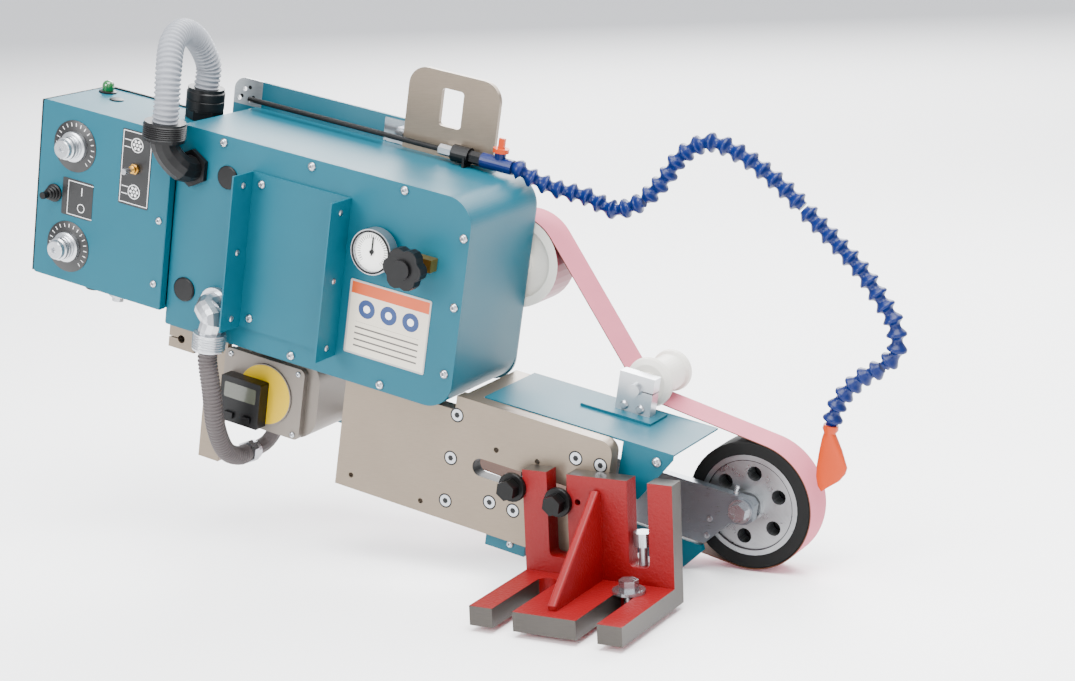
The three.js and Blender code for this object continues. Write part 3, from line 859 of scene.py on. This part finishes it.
@dataclass
class Fasteners:
    """Screws that hold the covers and plates."""

    material: bpy.types.Material
    # Black finish of the discs painted as shade in the counterbore gaps and hex recesses.
    dark: bpy.types.Material
    buttons: tuple[tuple[float, float, tuple[tuple[float, float], ...]], ...] = (
        (COVER_Y, 7.0, ((-730, 301), (-563, 301), (-394, 303), (-283, 254), (-285, 144), (-288, 36),
                        (-399, -13), (-567, -11))),
        (BOX_Y, 6.0, ((-833, 256), (-832, 150), (-833, 43))),
        (-23.3, 6.5, ((-650, 252), (-650, 30))),
        (41.0, 5.0, ((-721, -64), (-588, -64), (-588, -169), (-721, -169))),
        (26.0, 7.5, ((63.0, -17.0),)),
        (25.6, 6.0, ((-160.0, -222.0),)),
    )
    socket: tuple[tuple[float, float], ...] = (
        (-268, -31), (-270, -103), (-270, -175), (-193, -154), (-151, -155), (-58, -40), (-16, -39),
    )

    def button(self, into: Surface, u: float, y: float, w: float, r: float) -> None:
        """Button head: a low dome with a hexagonal recess.

        Args:
            into: surface that takes it.
            u: centre.
            y: seat.
            w: centre.
            r: head radius.

        Returns:
            Nothing.
        """
        profile = [(r, 0), (r, 0.25 * r), (0.92 * r, 0.42 * r), (0.7 * r, 0.58 * r), (0.5 * r, 0.64 * r),
                   (0.44 * r, 0.6 * r), (0.42 * r, 0.2 * r), (0.0, 0.16 * r)]
        into.revolve((u, y, w), Side.FRONT, profile, 24, hexed=(5, 6))

    def flush(self, heads: Surface, dark: Surface, u: float, w: float) -> None:
        """Socket screw sunk flush in its counterbore: a flat head, with black discs painted as shade for
        the ring gap and the hexagonal recess.

        Args:
            heads: surface that takes the head.
            dark: surface that takes the black discs painted as shade in the gap and the recess.
            u: centre.
            w: centre.

        Returns:
            Nothing.
        """
        # Black disc behind the head: painted shade in the counterbore's ring gap.
        dark.revolve((u, 0.3, w), Side.FRONT, [(11.8, 0), (11.8, 0.08), (11.4, 0.1), (0.0, 0.1)], 32)
        heads.revolve((u, 0.2, w), Side.FRONT, [(9.4, 0), (9.4, 0.06), (8.6, 0.1), (0.0, 0.1)], 32)
        # Black hexagon on the head: painted shade in the hex recess.
        dark.revolve((u, 0.1, w), Side.FRONT, [(4.9, 0), (4.9, 0.04), (0.0, 0.04)], 24, hexed=(0, 1))

    def build(self) -> None:
        """Build all fixed screws.

        Returns:
            Nothing.
        """
        screws = Surface()
        for seat, radius, places in self.buttons:
            for u, w in places:
                self.button(screws, u, seat, w, radius)
        for w in (250, 140, 30):
            for u in (-668, -486):
                screws.revolve((u, -48.0, w), Side.RIGHT, [(5, 0), (5, 1), (3.4, 2.4), (0, 2.6)], 18)
        for u in (SPOOL_U - 15, SPOOL_U + 13):
            screws.revolve((u, 134.0, 14.0), Side.FRONT, [(7, 0), (7, 2), (5, 4.4), (0, 4.6)], 20)
        nut = [(11, 0), (11, 7), (6, 7.4), (6, 10), (0, 10)]
        screws.revolve((-527.0, 181.6, 333.0), Side.FRONT, nut, 24, (0, 1))
        screws.emit("cover_screws", "head", [self.material])
        # The caps are the screw heads; the rings are the black discs painted as shade in the gaps and
        # recesses.
        caps, rings = Surface(), Surface()
        for u, w in self.socket:
            self.flush(caps, rings, u, w)
        caps.emit("side_plate_screws", "head", [self.material])
        rings.emit("side_plate_counterbore_shade", "head", [self.dark])


@dataclass
class Conduit:
    """Corrugated conduit: a sweep whose radius ripples along its length."""

    name: str
    node: str
    points: tuple[Point, ...]
    radius: float
    pitch: float
    depth: float
    material: bpy.types.Material

    def build(self) -> None:
        """Returns:
            Nothing.
        """
        smooth = centripetal(self.points)
        length = path_length(smooth)
        count = int(length / self.pitch * 8) + 1
        path = even(smooth, count)
        along = np.linspace(0.0, length, count)
        ripple = np.cos(along / self.pitch * 2.0 * math.pi)
        radii = self.radius - self.depth * 0.5 + self.depth * 0.5 * np.sign(ripple) * np.abs(ripple) ** 0.6
        surface = Surface()
        surface.sweep(path, radii, 28)
        hose = surface.emit(self.name, "head", [self.material], smooth=60.0)
        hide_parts(self.node)
        line = HEAD.place(path)
        2 * self.radius * MM
        LOG.info("%s is %.0f mm long", self.name, length)


@dataclass
class CoolantArm:
    """Jointed hose of ball-and-socket links, one length for each hinged body."""

    material: bpy.types.Material
    pitch: float = 22.5
    lengths: tuple[tuple[str, str, tuple[Point, ...]], ...] = (
        ("coolant_arm_a", "hose_a", (
            (-305, 158, 330), (-297, 158, 330), (-280, 166, 321), (-246, 182, 309), (-195, 201, 303),
            (-146, 205, 293), (-103, 205, 315))),
        ("coolant_arm_b", "hose_b", (
            (-96, 205, 324), (-72, 205, 358), (-47, 205, 404), (-6, 205, 433), (45, 205, 427),
            (113, 205, 398), (154, 205, 374))),
        ("coolant_arm_c", "hose_c", (
            (163, 205, 367), (214, 205, 334), (265, 205, 299), (299, 205, 267), (330, 205, 232),
            (340, 205, 191), (329, 205, 170))),
        ("coolant_arm_d", "hose_d", ((321, 205, 161), (292, 205, 134), (267, 205, 92), (261, 205, 56))),
    )
    profile: tuple[tuple[float, float], ...] = (
        (0.0, 8.6), (0.1, 9.4), (0.42, 15.6), (0.52, 16.0), (0.6, 15.2), (0.72, 9.6), (0.86, 8.2),
        (1.0, 8.6),
    )
    steps: int = 12

    def reach(self, path: np.ndarray, start: float = 2.5, end: float = 4.5) -> np.ndarray:
        """Lengthen a path along its own ends, so that each ball sits in the next length's socket.

        Args:
            path: centreline points.
            start: added before the first point.
            end: added after the last point.

        Returns:
            The longer path.
        """
        first, last = path[0] - path[1], path[-1] - path[-2]
        before = path[0] + first / np.linalg.norm(first) * start
        after = path[-1] + last / np.linalg.norm(last) * end
        return np.vstack([before, path, after])

    def build(self) -> None:
        """Build every length: the link profile repeats along the path.

        Returns:
            Nothing.
        """
        for node, body, points in self.lengths:
            smooth = self.reach(centripetal(points))
            links = max(2, round(path_length(smooth) / self.pitch))
            count = links * self.steps + 1
            path = even(smooth, count)
            phase = np.mod(np.arange(count) / self.steps, 1.0)
            radii = np.interp(phase, [p for p, _ in self.profile], [r for _, r in self.profile])
            surface = Surface()
            surface.sweep(path, radii, 24)
            piece = surface.emit(f"{node}_links", body, [self.material], smooth=40.0)
            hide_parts(node)


@dataclass
class FanNozzle:
    """Flat fan nozzle: a round neck that spreads into a wide, thin mouth."""

    material: bpy.types.Material
    stations: tuple[tuple[float, ...], ...] = (
        (249.5, 53, 272.5, 53, 11.5), (248.5, 46, 273.5, 46, 12.5), (252, 40, 270, 40, 9.5),
        (251, 30, 274, 33, 9), (250, 8, 285, 17, 8), (250, -14, 292, 4, 7), (252, -34, 298, -7, 6),
        (257, -48, 297, -17, 5.5), (264, -55, 290, -30, 5),
    )
    neck_rows: int = 3
    flatness: float = 0.6
    around: int = 28

    def build(self) -> None:
        """Loft ellipses between a left and a right edge that spread from neck to mouth.

        Returns:
            Nothing.
        """
        angle = np.arange(self.around) * 2.0 * math.pi / self.around
        rows = []
        for index, (left_u, left_w, right_u, right_w, thick) in enumerate(self.stations):
            power = 1.0 if index < self.neck_rows else self.flatness
            across = np.sign(np.cos(angle)) * np.abs(np.cos(angle)) ** power * 0.5
            deep = np.sign(np.sin(angle)) * np.abs(np.sin(angle)) ** power * thick
            rows.append(np.stack([
                (left_u + right_u) / 2 + across * (right_u - left_u), HOSE_Y + deep,
                (left_w + right_w) / 2 + across * (right_w - left_w),
            ], -1))
        surface = Surface()
        surface.grid(np.array(rows))
        piece = surface.emit("fan_nozzle", "nozzle", [self.material], smooth=40.0)
        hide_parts("coolant_nozzle")


@dataclass
class AbrasiveBelt:
    """Coated belt: a flat section swept round four wheels, grit outside and cloth inside."""

    grit: bpy.types.Material
    backing: bpy.types.Material
    wheels: tuple[tuple[float, float, float, int], ...] = (
        (*WHEEL, 101.6, 1), (SPOOL_U, 43, 29, -1), (*IDLER, 75, 1), (-640, -112, 60, 1),
    )
    y: tuple[float, float] = (193.0, 256.5)
    clearance: float = 0.4
    thickness: float = 1.6
    arc_step: float = 0.05

    def loop(self) -> np.ndarray:
        """Centreline of the belt: arcs on the wheels and the common tangents between them.

        Returns:
            Points with their outward normals, as u, w, normal u, normal w.
        """
        middle = self.clearance + self.thickness / 2
        circles = [(u, w, r + middle, turn) for u, w, r, turn in self.wheels]
        headings = []
        for i, (u, w, r, turn) in enumerate(circles):
            v, x, s, other = circles[(i + 1) % len(circles)]
            lean = math.asin((turn * r - other * s) / math.hypot(v - u, x - w))
            headings.append(math.atan2(x - w, v - u) + lean)
        rows = []
        for i, (u, w, r, turn) in enumerate(circles):
            start = headings[i - 1]
            sweep = headings[i] - start
            while sweep * turn < 0:
                sweep += turn * 2 * math.pi
            heading = start + np.linspace(0.0, sweep, max(8, int(abs(sweep) / self.arc_step)))
            normal = np.stack([np.sin(heading), -np.cos(heading)], -1)
            rows.append(np.hstack([np.array([u, w]) + turn * r * normal, normal]))
        return np.vstack(rows)

    def build(self) -> None:
        """Build the belt in place of its CAD loop.

        Returns:
            Nothing.
        """
        data = self.loop()
        half = self.thickness / 2
        corners = ((half, self.y[0]), (half, self.y[1]), (-half, self.y[1]), (-half, self.y[0]))
        rows = np.stack([
            np.stack([data[:, 0] + off * data[:, 2], np.full(len(data), y),
                      data[:, 1] + off * data[:, 3]], -1)
            for off, y in corners
        ], 1)
        surface = Surface()
        surface.grid(rows, wrap_rows=True, slots=(0, 1, 1, 1))
        piece = surface.emit("coated_belt", "head", [self.grit, self.backing], smooth=40.0)
        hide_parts("abrasive_belt")


@dataclass
class PanelGraphics:
    """Plates and faces whose marks are drawn by their materials, without any lettering."""

    black: bpy.types.Material

    def scale_material(self, name: str, centre: Point, inner: float, outer: float, ground: Point,
                       ink: Point, marks: int, opening: float) -> bpy.types.Material:
        """Face with a ring of radial marks.

        Args:
            name: material name.
            centre: centre in the machine frame.
            inner: inner radius of the marks.
            outer: outer radius of the marks.
            ground: colour of the face.
            ink: colour of the marks.
            marks: how many marks a full circle would have.
            opening: half angle left free at the bottom, in degrees.

        Returns:
            The material.
        """
        kit = MaterialBuilder(name)
        a, b = kit.local(centre)
        radius = (a * a + b * b).math("SQRT")
        angle = a.math("ARCTAN2", b)
        step = 2 * math.pi / marks
        stripe = (angle / step + 1000.5).math("FRACT") - 0.5
        arc = stripe.math("ABSOLUTE") * radius * step
        ring = arc.below(0.55) * radius.within(inner, outer)
        ring = ring * angle.math("ABSOLUTE").below(math.pi - math.radians(opening))
        kit.feed("Base Color", kit.mix(ring, ground, ink))
        kit.feed("Roughness", 0.4)
        return kit.material

    def legend_material(self, name: str, centre: Point, half_w: float, wheels: bool) -> bpy.types.Material:
        """Black plate with a thin light border and two plain symbols, one above the other.

        Args:
            name: material name.
            centre: centre in the machine frame.
            half_w: half of the plate's height.
            wheels: draw two wheels with arrows instead of a ring and a bar.

        Returns:
            The material.
        """
        kit = MaterialBuilder(name)
        a, b = kit.local(centre)
        total = a * 0.0
        angle_step = math.pi / 3
        spread = 1.25 if wheels else 0.9
        for index in range(2):
            lifted = b - (index - 0.5) * half_w * spread
            radius = (a * a + lifted * lifted).math("SQRT")
            if wheels:
                turn = (lifted.math("ARCTAN2", a) / angle_step + 100.5).math("FRACT") - 0.5
                along = turn * angle_step * radius
                lobe = (along * along + (radius - 6.6) * (radius - 6.6)).math("SQRT").below(2.4)
                shaft = (lifted.math("ABSOLUTE") - 6.0).math("ABSOLUTE").below(0.6)
                total = total + radius.within(10.5, 12.0) + lobe + radius.below(2.2)
                total = total + a.within(-25.0, -12.0) * shaft
            elif index:
                total = total + a.math("ABSOLUTE").below(0.8) * lifted.math("ABSOLUTE").below(6.8)
            else:
                total = total + radius.within(6.2, 7.4)
        sides = a.math("ABSOLUTE").within(27.2, 28.4) * b.math("ABSOLUTE").below(half_w - 2.4)
        border = b.math("ABSOLUTE").within(half_w - 3.4, half_w - 2.2) * a.math("ABSOLUTE").below(28.4)
        mask = (total + border + sides).math("MINIMUM", 1.0)
        kit.feed("Base Color", kit.mix(mask, linear(12, 12, 13), linear(205, 205, 205)))
        kit.feed("Roughness", 0.35)
        return kit.material

    def notice_material(self, centre: Point) -> bpy.types.Material:
        """Notice plate: coloured band, three round pictures without detail, and plain rules.

        Args:
            centre: centre in the machine frame.

        Returns:
            The material.
        """
        kit = MaterialBuilder("notice_plate")
        a, b = kit.local(centre)
        rules = ((b / 10.0 + 100.0).math("FRACT") - 0.5).math("ABSOLUTE").below(0.14)
        rules = rules * b.within(-52.0, -6.0) * a.math("ABSOLUTE").below(58.0)
        color = kit.mix(rules, linear(196, 188, 172), linear(70, 66, 64))
        color = kit.mix(b.above(38.0), color, linear(176, 66, 4))
        for offset in (-40.0, 0.0, 40.0):
            radius = ((a - offset) * (a - offset) + (b - 17.0) * (b - 17.0)).math("SQRT")
            color = kit.mix(radius.below(15.0), color, linear(0, 40, 92))
            color = kit.mix(radius.below(6.0), color, linear(225, 225, 225))
        edge = (a.math("ABSOLUTE").above(70.5) + b.math("ABSOLUTE").above(57.0)).math("MINIMUM", 1.0)
        color = kit.mix(edge, color, linear(150, 150, 148))
        kit.feed("Base Color", color)
        kit.feed("Roughness", 0.4)
        return kit.material

    def plates(self, palette: Palette, steel: bpy.types.Material) -> None:
        """Add the thin plates: legends, notice, edges of the box, bolt tab and display.

        Args:
            palette: finishes.
            steel: finish of the bolt tab.

        Returns:
            Nothing.
        """
        power = self.legend_material("power_legend", (-990.0, MARKS_Y, 146.0), 31.0, False)
        direction = self.legend_material("direction_legend", (TOGGLE[0], MARKS_Y, TOGGLE[1]), 62.0, True)
        notice = self.notice_material((-397.0, -21.0, 84.0))
        lip, display = palette.teal.build(), palette.display.build()
        for name, u, y, w, material, radius in (
            ("power_legend", (-1030.0, -967.0), (-35.5, BOX_Y), (115.0, 178.0), power, 3.0),
            ("direction_legend", (-916.0, -856.0), (-35.5, BOX_Y), (161.0, 286.0), direction, 3.0),
            ("notice_plate", (-471.0, -324.0), (-21.2, COVER_Y), (24.0, 144.0), notice, 3.0),
            ("box_lip", (-818.4, -817.2), (BOX_Y, -20.6), (2.0, 298.0), lip, 0.3),
            ("box_gasket_left", (-1082.6, -1080.3), (-35.4, 124.0), (4.0, 297.0), self.black, 0.5),
            ("box_gasket_back", (-1080.0, -822.0), (123.0, 127.0), (BOX_TOP, 300.6), self.black, 0.5),
            ("bolt_tab", (-562.0, -520.0), (181.4, 182.2), (314.0, 353.0), steel, 2.0),
            ("counter_display", (-710.0, -648.0), (13.4, 14.2), (-128.0, -102.0), display, 3.0),
        ):
            surface = Surface()
            surface.slab(u, y, w, radius)
            surface.emit(name, "head", [material])

    def disc(self, name: str, centre: Point, radius: float, thick: float,
             material: bpy.types.Material) -> None:
        """Add one thin round plate.

        Args:
            name: piece name.
            centre: centre of its back face.
            radius: its radius.
            thick: its thickness.
            material: its finish.

        Returns:
            Nothing.
        """
        profile = [(radius, 0.0), (radius, thick * 0.8), (radius - 0.3, thick), (0.0, thick)]
        turned(name, "head", material, (centre, Side.FRONT, profile, 64))

    def build(self, palette: Palette, steel: bpy.types.Material) -> None:
        """Build every face and plate.

        Args:
            palette: finishes.
            steel: finish of the bolt tab.

        Returns:
            Nothing.
        """
        dark, light, white = linear(10, 10, 11), linear(215, 215, 215), linear(232, 232, 228)
        for tag, u, w in DIALS:
            face = self.scale_material(f"scale_{tag}", (u, MARKS_Y, w), 33.0, 39.0, dark, light, 24, 40.0)
            self.disc(f"dial_scale_{tag}", (u, BOX_Y, w), 43.0, 1.0, face)
        u, w = GAUGE
        face = self.scale_material("gauge_face", (u, -43.0, w), 21.0, 27.0, white, dark, 40, 45.0)
        self.disc("gauge_dial", (u, -42.3, w), 30.8, 0.25, face)
        bezel, around = Surface(), 64
        turn = np.arange(around) * 2.0 * math.pi / around
        bezel.grid(np.array([
            np.stack([u + r * np.cos(turn), np.full(around, y), w + r * np.sin(turn)], -1)
            for r, y in ((30.9, -42.6), (31.2, -48.6), (34.2, -48.6), (34.2, -47.0))
        ]), wrap_rows=True)
        bezel.emit("gauge_ring", "head", [self.black])
        self.plates(palette, steel)
        turned("motor_disc", "head", palette.yellow.build(),
               ((-648.0, 38.2, -115.0), Side.FRONT, [(50.0, 0.0), (50.0, 0.35), (0.0, 0.35)], 64))
        boot = [(15, 0), (15, 3), (12, 4), (12.5, 8), (10, 9), (10.5, 13), (8, 14), (8.5, 18), (6.6, 20),
                (0, 20.5)]
        turned("plugs_and_boot", "head", self.black,
               ((-717.0, COVER_Y, 247.0), Side.FRONT, [(19, 0), (19, 2), (17.5, 3.4), (0, 3.8)], 32),
               ((-782.0, COVER_Y, 44.0), Side.FRONT, [(20, 0), (20, 2.2), (18, 4.0), (0, 4.4)], 32),
               ((-1046.0, BOX_Y, 146.0), Side.FRONT, boot, 28),
               ((-1008.0, 62.0, 298.0), Side.TOP, [(12, 0), (12, 1.5), (10.5, 2.2), (0, 2.2)], 32),
               ((-987.0, 10.0, -14.0), Side.TOP, [(13, 0), (15, 3), (15, 12), (13, 15.5)], 28))
        nut = [(9, 0), (9, 4), (6.4, 4.4), (6.4, 9.5), (5.2, 10), (0, 10)]
        turned("direction_nut", "head", palette.brass.build(),
               ((TOGGLE[0], KNOB_Y, TOGGLE[1]), Side.FRONT, nut, 24, (0, 1)))
        turned("lamp_collar", "head", self.black,
               ((*LAMP, BOX_TOP), Side.TOP, [(15, 0), (15, 2), (11.5, 3.4), (0, 3.4)], 28))
        dome = [(9.6, 0), (10, 3), (10, 8), (9.2, 12), (6.8, 15), (3.4, 16.6), (0, 17)]
        lens = turned("lamp_lens", "head", palette.green.build(), ((*LAMP, 301.7), Side.TOP, dome, 24))
        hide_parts("pilot_lamp")

    def knobs(self, nodes: dict[str, bpy.types.Object], aluminium: bpy.types.Material) -> None:
        """Stepped speed and stroke knobs with a screw well in the crown.

        Args:
            nodes: CAD nodes by name.
            aluminium: their finish.

        Returns:
            Nothing.
        """
        profile = [(25, 0.2), (25, 7), (23.5, 8), (19.5, 8.4), (19.5, 11), (18.6, 11.4), (18.6, 17),
                   (17.4, 17.6), (17.4, 19), (18.6, 19.6), (18.6, 25), (16, 26.4), (15.4, 33),
                   (13.8, 34.6), (5.2, 34.6), (4.8, 31), (0, 31)]
        for tag, u, w in DIALS:
            node = f"dial_knob_{tag}"
            surface = Surface()
            surface.revolve((u, KNOB_Y, w), Side.FRONT, profile, 48)
            surface.slab((u - 1.2, u + 1.2), (-62.0, -54.8), (w + 15.0, w + 18.9), 0.4)
            piece = surface.emit(f"{node}_turned", nodes[node]["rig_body"], [aluminium])
            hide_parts(node)


@dataclass
class FittingDetails:
    """Ribs and nuts on the conduit fittings, small parts of the contact head, and a black disc painted as
    shade behind the hub's holes.
    """

    black: bpy.types.Material
    steel: bpy.types.Material
    aluminium: bpy.types.Material

    def build(self) -> None:
        """Build the fitting details.

        Returns:
            Nothing.
        """
        gland = [(29, 0), (31.4, 1), (31.4, 14), (30.6, 15), (31.4, 16), (31.4, 28), (28, 32), (24, 34.5),
                 (0.0, 34.5)]
        turned("gland_ribs", "head", self.black,
               ((-811.0, -68.3, 298.0), Side.TOP, self.ribbed(34.4, 23.0, 7), 48),
               ((-851.0, 91.0, 315.0), Side.TOP, gland, 40))
        turned("lower_nut_ribs", "head", self.aluminium,
               ((-699.0, -58.3, -26.5), Side.TOP, self.ribbed(27.2, 25.0, 6), 40))
        # Black disc behind the contact hub: painted shade, seen through the hub's holes.
        turned("hub_painted_shade_disc", "contact_wheel", self.black,
               ((WHEEL[0], 229.0, WHEEL[1]), Side.FRONT, [(82, 0), (82, 1), (0, 1)], 48))
        head = [(4.5, 0), (4.5, 2.4), (2.4, 2.6), (2.2, 1.0), (0, 0.8)]
        nipple = [(5.5, 0), (5.5, 4), (3.4, 5), (3.4, 9), (4.6, 10), (4.0, 13), (0, 14)]
        turned("arm_screws", "oscillator", self.steel,
               ((107, 166.0, -138), Side.FRONT, head, 20, (2, 3)),
               ((107, 166.0, -166), Side.FRONT, head, 20, (2, 3)),
               ((140.0, 174.0, -88.0), Side.TOP, nipple, 20))

    def ribbed(self, radius: float, height: float, count: int) -> list[tuple[float, float]]:
        """Profile of a ribbed collar: equal waves up its side.

        Args:
            radius: crest radius.
            height: its height.
            count: number of ribs.

        Returns:
            Radius and height pairs.
        """
        step = height / (2 * count)
        return [(radius - (1.4 if k % 2 == 0 else 0.0), k * step) for k in range(2 * count + 1)]


@dataclass
class Studio:
    """Floor, lights and camera."""

    eye: Point = (1.5487, -2.889, 1.1767)
    look: Point = (-0.4717, 0.8523, -0.226)
    roll: float = math.radians(-2.404)
    lens: float = 78.2
    sensor: float = 36.0
    aim: Point = (-0.3, 0.2, 0.3)
    sky: tuple[float, float, float, float] = (0.93, 0.95, 1.0, 1.0)
    sky_strength: float = 1.2
    floor_half: float = 30.0
    floor_gap: float = 0.002
    lamps: tuple[tuple[str, Point, float, float], ...] = (
        ("overhead", (0.2, -0.4, 3.2), 2.6, 330.0),
        ("key", (-1.9, -3.2, 2.1), 1.6, 190.0),
        ("fill", (2.8, -2.6, 1.6), 2.2, 60.0),
        ("rim", (0.5, 2.8, 2.4), 2.0, 110.0),
        ("backdrop", (-2.6, 6.0, 4.2), 4.0, 900.0),
    )

    def build(self, low: float) -> None:
        """Set the stage.

        Args:
            low: height of the lowest point of the object.

        Returns:
            Nothing.
        """
        size, z = self.floor_half, low - self.floor_gap
        mesh = bpy.data.meshes.new("floor")
        corners = [(-size, -size, z), (size, -size, z), (size, size, z), (-size, size, z)]
        mesh.from_pydata(corners, [], [(0, 1, 2, 3)])
        floor = bpy.data.objects.new("floor", mesh)
        floor.data.materials.append(Finish("floor", linear(252, 252, 252), 0.6, variation=0.0).build())
        bpy.context.scene.collection.objects.link(floor)
        floor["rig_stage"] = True
        world = bpy.data.worlds.new("studio")
        world.use_nodes = True
        world.node_tree.nodes["Background"].inputs[0].default_value = self.sky
        world.node_tree.nodes["Background"].inputs[1].default_value = self.sky_strength
        bpy.context.scene.world = world
        for name, place, size, power in self.lamps:
            self.lamp(name, place, size, power)
        self.camera()

    def lamp(self, name: str, place: Point, size: float, power: float) -> None:
        """Add a soft area light aimed at the object.

        Args:
            name: light name.
            place: its position.
            size: its width.
            power: its power in watts.

        Returns:
            Nothing.
        """
        data = bpy.data.lights.new(name, "AREA")
        data.size = size
        data.energy = power
        light = bpy.data.objects.new(name, data)
        light.location = place
        aim = Vector(self.aim) - Vector(place)
        light.rotation_euler = aim.to_track_quat("-Z", "Y").to_euler()
        bpy.context.scene.collection.objects.link(light)

    def camera(self) -> None:
        """Add the camera and make it the scene's.

        Returns:
            Nothing.
        """
        data = bpy.data.cameras.new("camera")
        data.lens = self.lens
        data.sensor_width = self.sensor
        camera = bpy.data.objects.new("camera", data)
        forward = Vector(self.look).normalized()
        right = forward.cross(Vector((0, 0, 1))).normalized()
        up = right.cross(forward)
        cos, sin = math.cos(self.roll), math.sin(self.roll)
        x_axis, y_axis = right * cos + up * sin, up * cos - right * sin
        matrix = Matrix((x_axis, y_axis, -forward)).transposed().to_4x4()
        matrix.translation = Vector(self.eye)
        camera.matrix_world = matrix
        bpy.context.scene.collection.objects.link(camera)
        bpy.context.scene.camera = camera


def main() -> None:
    """Returns:
        Nothing.
    """
    logging.basicConfig(level=logging.INFO, format="%(name)s: %(message)s")
    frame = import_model()
    palette = Palette()
    paint = FramePaint(palette).dress(frame)
    Fasteners(paint["steel"], paint["black"]).build()
    Conduit("corrugated_upper", "conduit_upper", UPPER_ROUTE, 21.0, 7.5, 2.6,
            paint["conduit"]).build()
    Conduit("corrugated_lower", "conduit_lower", LOWER_ROUTE, 16.0, 6.0, 2.0,
            paint["dark_conduit"]).build()
    places = HEAD.place(even(np.array(TUBE_ROUTE), 40))
    CoolantArm(paint["blue"]).build()
    FanNozzle(paint["orange"]).build()
    AbrasiveBelt(paint["belt"], palette.backing.build()).build()
    graphics = PanelGraphics(paint["black"])
    graphics.build(palette, paint["steel"])
    graphics.knobs(frame["nodes"], paint["aluminium"])
    FittingDetails(paint["black"], paint["steel"], paint["aluminium"]).build()
    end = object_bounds()
    Studio().build(float(end[0][2]))


if __name__ == "__main__":
    main()
